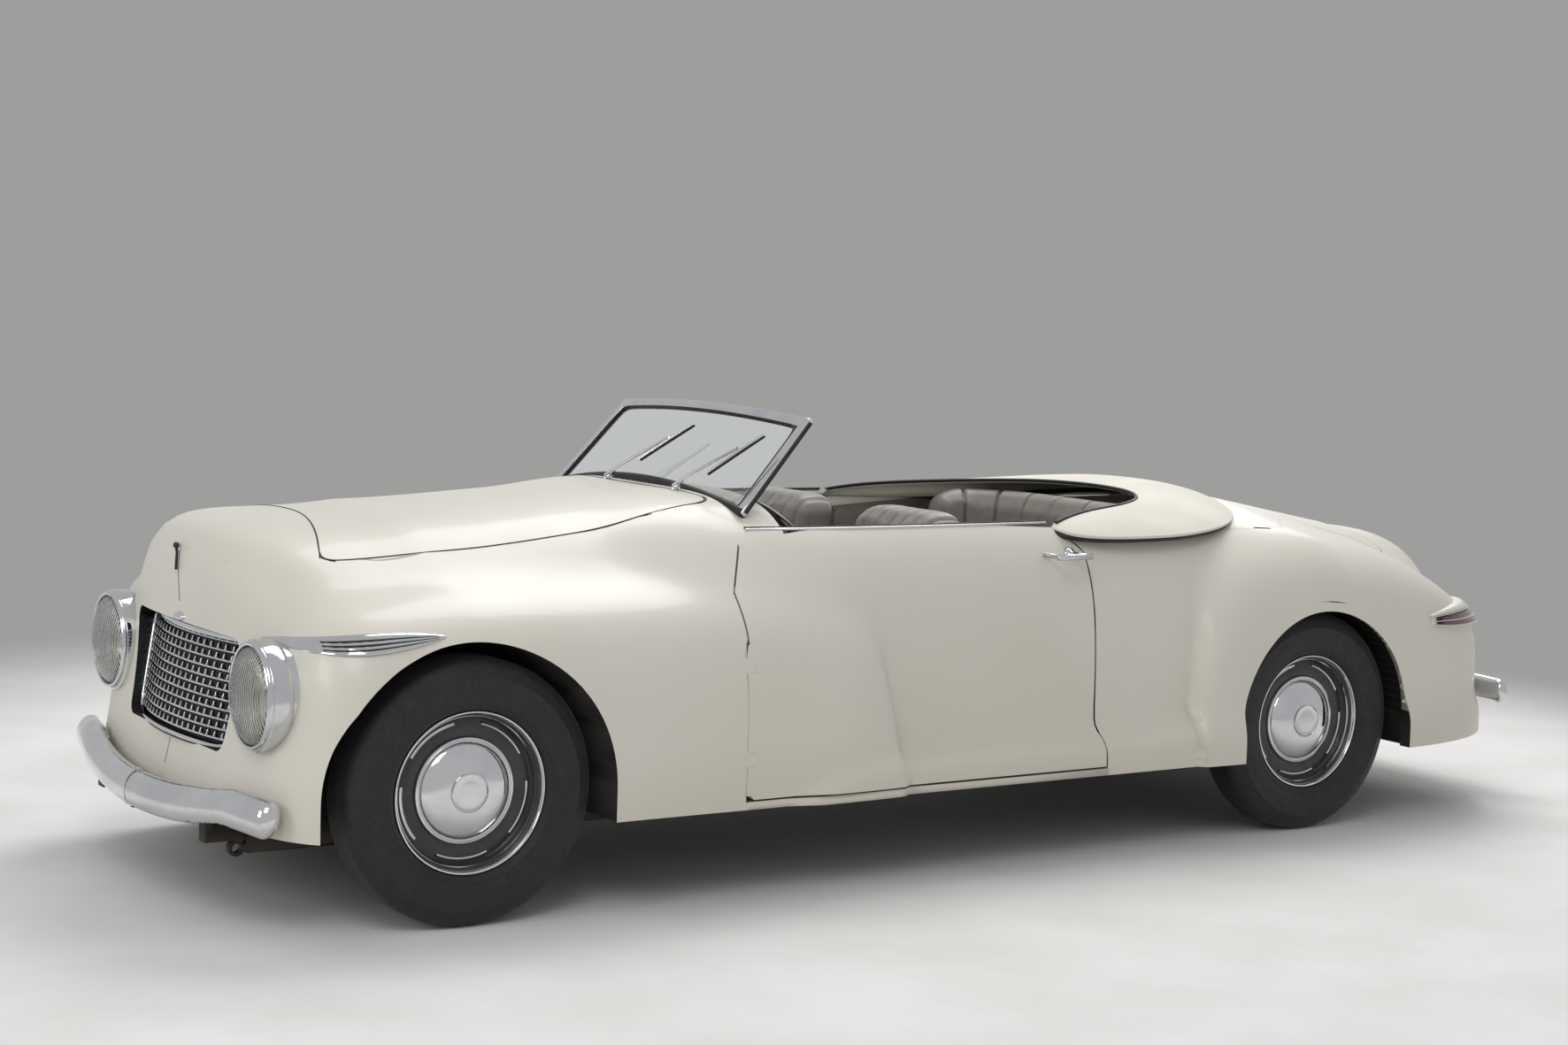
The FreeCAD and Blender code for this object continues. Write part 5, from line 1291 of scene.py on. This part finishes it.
# the rear seat's well: two straight legs, two rounded corners and a straight rear
WELL_HALF, WELL_REAR, WELL_CORNER, WELL_FRONT = 0.520, -0.925, 0.32, -0.585
LEG = WELL_FRONT - WELL_REAR - WELL_CORNER
BEND = math.pi / 2 * WELL_CORNER
SPAN = 2 * (LEG + BEND + WELL_HALF - WELL_CORNER)


def round_well(p):
    """Wraps a straight piece round the well: y along it from -SPAN/2, x inward from the wall."""
    s, way = p.y + SPAN / 2, 1
    if s > SPAN / 2:
        s, way = SPAN - s, -1
    if s < LEG:
        spot, inward = Vector((WELL_FRONT - s, WELL_HALF, 0)), Vector((0, -1, 0))
    elif s < LEG + BEND:
        turn = (s - LEG) / WELL_CORNER
        away = Vector((-math.sin(turn), math.cos(turn), 0))
        centre = Vector((WELL_REAR + WELL_CORNER, WELL_HALF - WELL_CORNER, 0))
        spot, inward = centre + away * WELL_CORNER, -away
    else:
        rest = s - LEG - BEND
        spot = Vector((WELL_REAR, WELL_HALF - WELL_CORNER - rest, 0))
        inward = Vector((1, 0, 0))
    spot = spot + inward * p.x
    end = min(max((abs(p.y) - SPAN / 2 + 0.17) / 0.17, 0), 1)
    p.z -= 0.13 * (1 - math.sqrt(1 - end ** 2)) * max(0.0, (p.z - 0.80) / 0.246)
    return Vector((spot.x, spot.y * way, p.z))


wrap = block("rear_back", (0.004, -SPAN / 2 + 0.004, 0.69), (0.090, SPAN / 2 - 0.004, 1.046),
             0.035, 4)
wrap = pleated(cushion(wrap), [SPAN * (k / 9 - 0.5) for k in range(1, 9)], 0.014, 0.007)
outward(moulded(wrap, round_well))
done(smooth(wrap, 60), "car_body", LEATHER, "seat_leather", "rear_seat")
bench = block("rear_cushion", (-0.850, -0.440, 0.585), (-0.585, 0.440, 0.695), 0.03, 4)
bench = pleated(cushion(bench), between(-0.378, 0.378, 13), 0.009)
done(smooth(bench, 60), "car_body", LEATHER, "seat_leather", "rear_seat")
plinth = block("rear_seat_base", (-0.60, -0.495, 0.285), (-0.590, 0.495, 0.60))
done(plinth, "car_body", CARPET, "seat_leather", "rear_seat")


# ---- Lamps, blades and handles on the car's sides ----
def on_side(p):
    """Lays a piece drawn flat (x along, y outwards, z up) against the left side."""
    spot = SKIN.side(p.x, p.z)
    return Vector((p.x, (spot.y if spot else 0.7) + p.y, p.z))


def side_piece(name, low, high, shape, material, slot, node, round_off):
    """A block on the skin, shaped flat first, on both sides of the car."""
    piece = block(name, low, high, round_off)
    cut_across(piece, 0, low[0], high[0], 14)
    moulded(moulded(piece, shape), on_side)
    both_sides(smooth(piece, 45), name, material, slot, node)


LAMP_REAR, LAMP_LENGTH, LAMP_MIDDLE, LAMP_PROUD = -2.088, 0.343, 0.677, 0.036


def lamp_taper(p):
    """A pod that stands further off the skin towards its blunt rear end."""
    share = min(max((p.x - LAMP_REAR) / LAMP_LENGTH, 0), 1)
    proud = p.y + (LAMP_PROUD * (1 - share) if p.y > 0 else 0)
    height = (p.z - LAMP_MIDDLE) * (1 - 0.55 * share ** 3)
    return Vector((p.x, proud, LAMP_MIDDLE - 0.004 * share + height))


for name, low, high, material, round_off in (
        ("tail_housing", (-2.086, -0.030, 0.640), (-1.750, 0.004, 0.714), LACQUER, 0.003),
        ("tail_visor", (-2.088, -0.030, 0.6985), (-1.745, 0.012, 0.716), LACQUER, 0.005),
        ("tail_recess", (-2.085, -0.030, 0.646), (-1.775, 0.0065, 0.699), SEAL, 0.002),
        ("tail_lens", (-2.083, -0.030, 0.650), (-1.800, 0.0095, 0.691), RUBY, 0.004)):
    side_piece(name, low, high, lamp_taper, material, "red_lens", "tail_lamp", round_off)
for level in (0.6495, 0.670, 0.6965):
    side_piece(f"tail_bead_{round(level * 1000)}", (-2.087, 0.003, level - 0.0024),
               (-1.765, 0.0125, level + 0.0024), lamp_taper, CHROME, "bright_chrome",
               "tail_lamp", 0.0015)

BLADE_TIP, BLADE_LENGTH, BLADE_MIDDLE = 2.222, 0.382, 0.766


def blade_taper(p):
    """A leaf, pointed at both ends and highest in its front half."""
    share = min(max((BLADE_TIP - p.x) / BLADE_LENGTH, 0), 1)
    swell = max(math.sin(math.pi * share ** 0.8), 0.0) ** 0.7
    middle = BLADE_MIDDLE - 0.018 + 0.026 * share ** 0.8
    return Vector((p.x, p.y * (0.15 + 0.85 * swell) if p.y > 0 else p.y,
                   middle + (p.z - BLADE_MIDDLE) * (0.06 + 0.94 * swell)))


side_piece("wing_blade", (1.840, -0.020, 0.742), (2.222, 0.012, 0.790), blade_taper, CHROME,
           "bright_chrome", "wing_blade", 0.006)
for level in (0.755, 0.766, 0.777):
    side_piece(f"blade_groove_{round(level * 1000)}", (1.860, 0.006, level - 0.0016),
               (2.150, 0.0135, level + 0.0016), blade_taper, SEAL, "black_plastic",
               "wing_blade", 0.0012)
for half, way in HALVES:
    spot = SKIN.side(-0.272, 0.924, way)
    plate = turned(f"handle_plate_{half}",
                   [(0.0, 0.094), (0.0075, 0.093), (0.009, 0.088), (0.0085, 0.030),
                    (0.010, 0.014), (0.0165, 0.008), (0.0195, 0.001), (0.0195, -0.014),
                    (0.0, -0.014)], spot, (0, way, 0), 40)
    done(smooth(plate, 50), f"door_{half}_body", CHROME, "bright_chrome",
         f"door_handle_{half}")

# ---- Dials on the painted dashboard ----
BACKWARD = (-1, 0, 0)
for k, (y, size) in enumerate(((0.27, 0.048), (0.43, 0.048), (0.0, 0.036), (-0.12, 0.036))):
    spot = (0.7225, y, 0.985)
    ring = turned(f"dial_ring_{k}", [(size * 0.86, 0.001), (size * 0.90, 0.006), (size, 0.006),
                                     (size * 1.06, 0.0), (size * 0.86, 0.001)], spot,
                  BACKWARD, 40)
    done(smooth(ring, 50), "car_body", CHROME, "bright_chrome", "dashboard")
    dial = turned(f"dial_{k}", [(0.0, 0.0015), (size * 0.88, 0.0015), (size * 0.88, -0.002),
                                (0.0, -0.002)], spot, BACKWARD, 40)
    done(smooth(dial, 50), "car_body", DIAL, "bright_chrome", "dashboard")

# ---- Camera, light and floor ----
# the camera stands and looks as worked out from the photograph: yaw, pitch and roll in radians,
# its focal length and the picture's width in pixels, then the film's width in millimetres
YAW, PITCH, ROLL = -2.1649, -0.0788, 0.0352
FOCAL_PIXELS, PICTURE_WIDTH, FILM_WIDTH = 2907.19, 1772, 36.0
deselect()
bpy.ops.object.camera_add(location=(FRONT_AXLE + 2.9412, 6.7831, 1.6797))
camera = bpy.context.object
turn = (Matrix.Rotation(YAW - math.pi / 2, 3, "Z")
        @ Matrix.Rotation(math.pi / 2 + PITCH, 3, "X") @ Matrix.Rotation(ROLL, 3, "Z"))
camera.rotation_euler = turn.to_euler()
camera.data.sensor_width = FILM_WIDTH
camera.data.lens = FOCAL_PIXELS * FILM_WIDTH / PICTURE_WIDTH
camera.data.shift_x = -0.0342
camera.data.shift_y = -0.0142
bpy.context.scene.camera = camera


def floor_paint():
    """Painted studio floor, pale and matt with faint scuffs. Between 3 and 5.2 m from the car it
    fades out into the darker backdrop: a painted pool of light.
    """
    mat, tree, shader, place = finish("painted_floor", ("Roughness", 0.9))
    length = add(tree, "ShaderNodeVectorMath", [(0, place)], operation="LENGTH")
    # painted pool of light: the floor is whole out to 3 m and gone by 5.2 m, so it darkens into
    # the backdrop
    light_pool_fade = add(tree, "ShaderNodeMapRange", [("Value", length.outputs["Value"]),
                                           ("From Min", 3.0), ("From Max", 5.2),
                                           ("To Min", 1.0), ("To Max", 0.0)],
              interpolation_type="SMOOTHSTEP")
    two_tones(tree, shader, noise(tree, place, 0.5, 4.0), "#E4E3E1", "#DBDAD7")
    add(tree, shader, [("Alpha", light_pool_fade.outputs[0])])
    return mat


deselect()
bpy.ops.mesh.primitive_plane_add(size=16, location=(0, 0, -0.0005))
floor = started("studio_floor")
apply_place()
floor.data.materials.append(floor_paint())

for name, place, size, power, target in (
        ("key", (4.5, 4.5, 5.5), 3.0, 95, (0, 0, 0.5)),
        ("top", (-2.0, -2.0, 6.5), 4.0, 270, (0, 0, 0.6)),
        ("front", (7.5, 1.0, 3.0), 2.0, 70, (1.5, 0, 0.5)),
        ("rim", (-5.5, -4.0, 4.0), 2.5, 60, (0, 0, 0.6))):
    deselect()
    bpy.ops.object.light_add(type="AREA", location=place)
    light = bpy.context.object
    light.name = name
    light.data.size = size
    light.data.energy = power
    aim = Vector(target) - Vector(place)
    light.rotation_euler = aim.to_track_quat("-Z", "Y").to_euler()

world = bpy.data.worlds.new("studio")
bpy.context.scene.world = world
world.use_nodes = True
sky = world.node_tree
path = add(sky, "ShaderNodeLightPath")
seen = add(sky, "ShaderNodeMix", [(0, path.outputs["Is Camera Ray"]),
                                  (6, sheet_colour("#F0F0F2")), (7, sheet_colour("#C4C4C2"))],
           data_type="RGBA")
add(sky, sky.nodes["Background"], [("Color", seen.outputs[2]), ("Strength", 0.62)])

bpy.context.scene.view_settings.view_transform = "Standard"
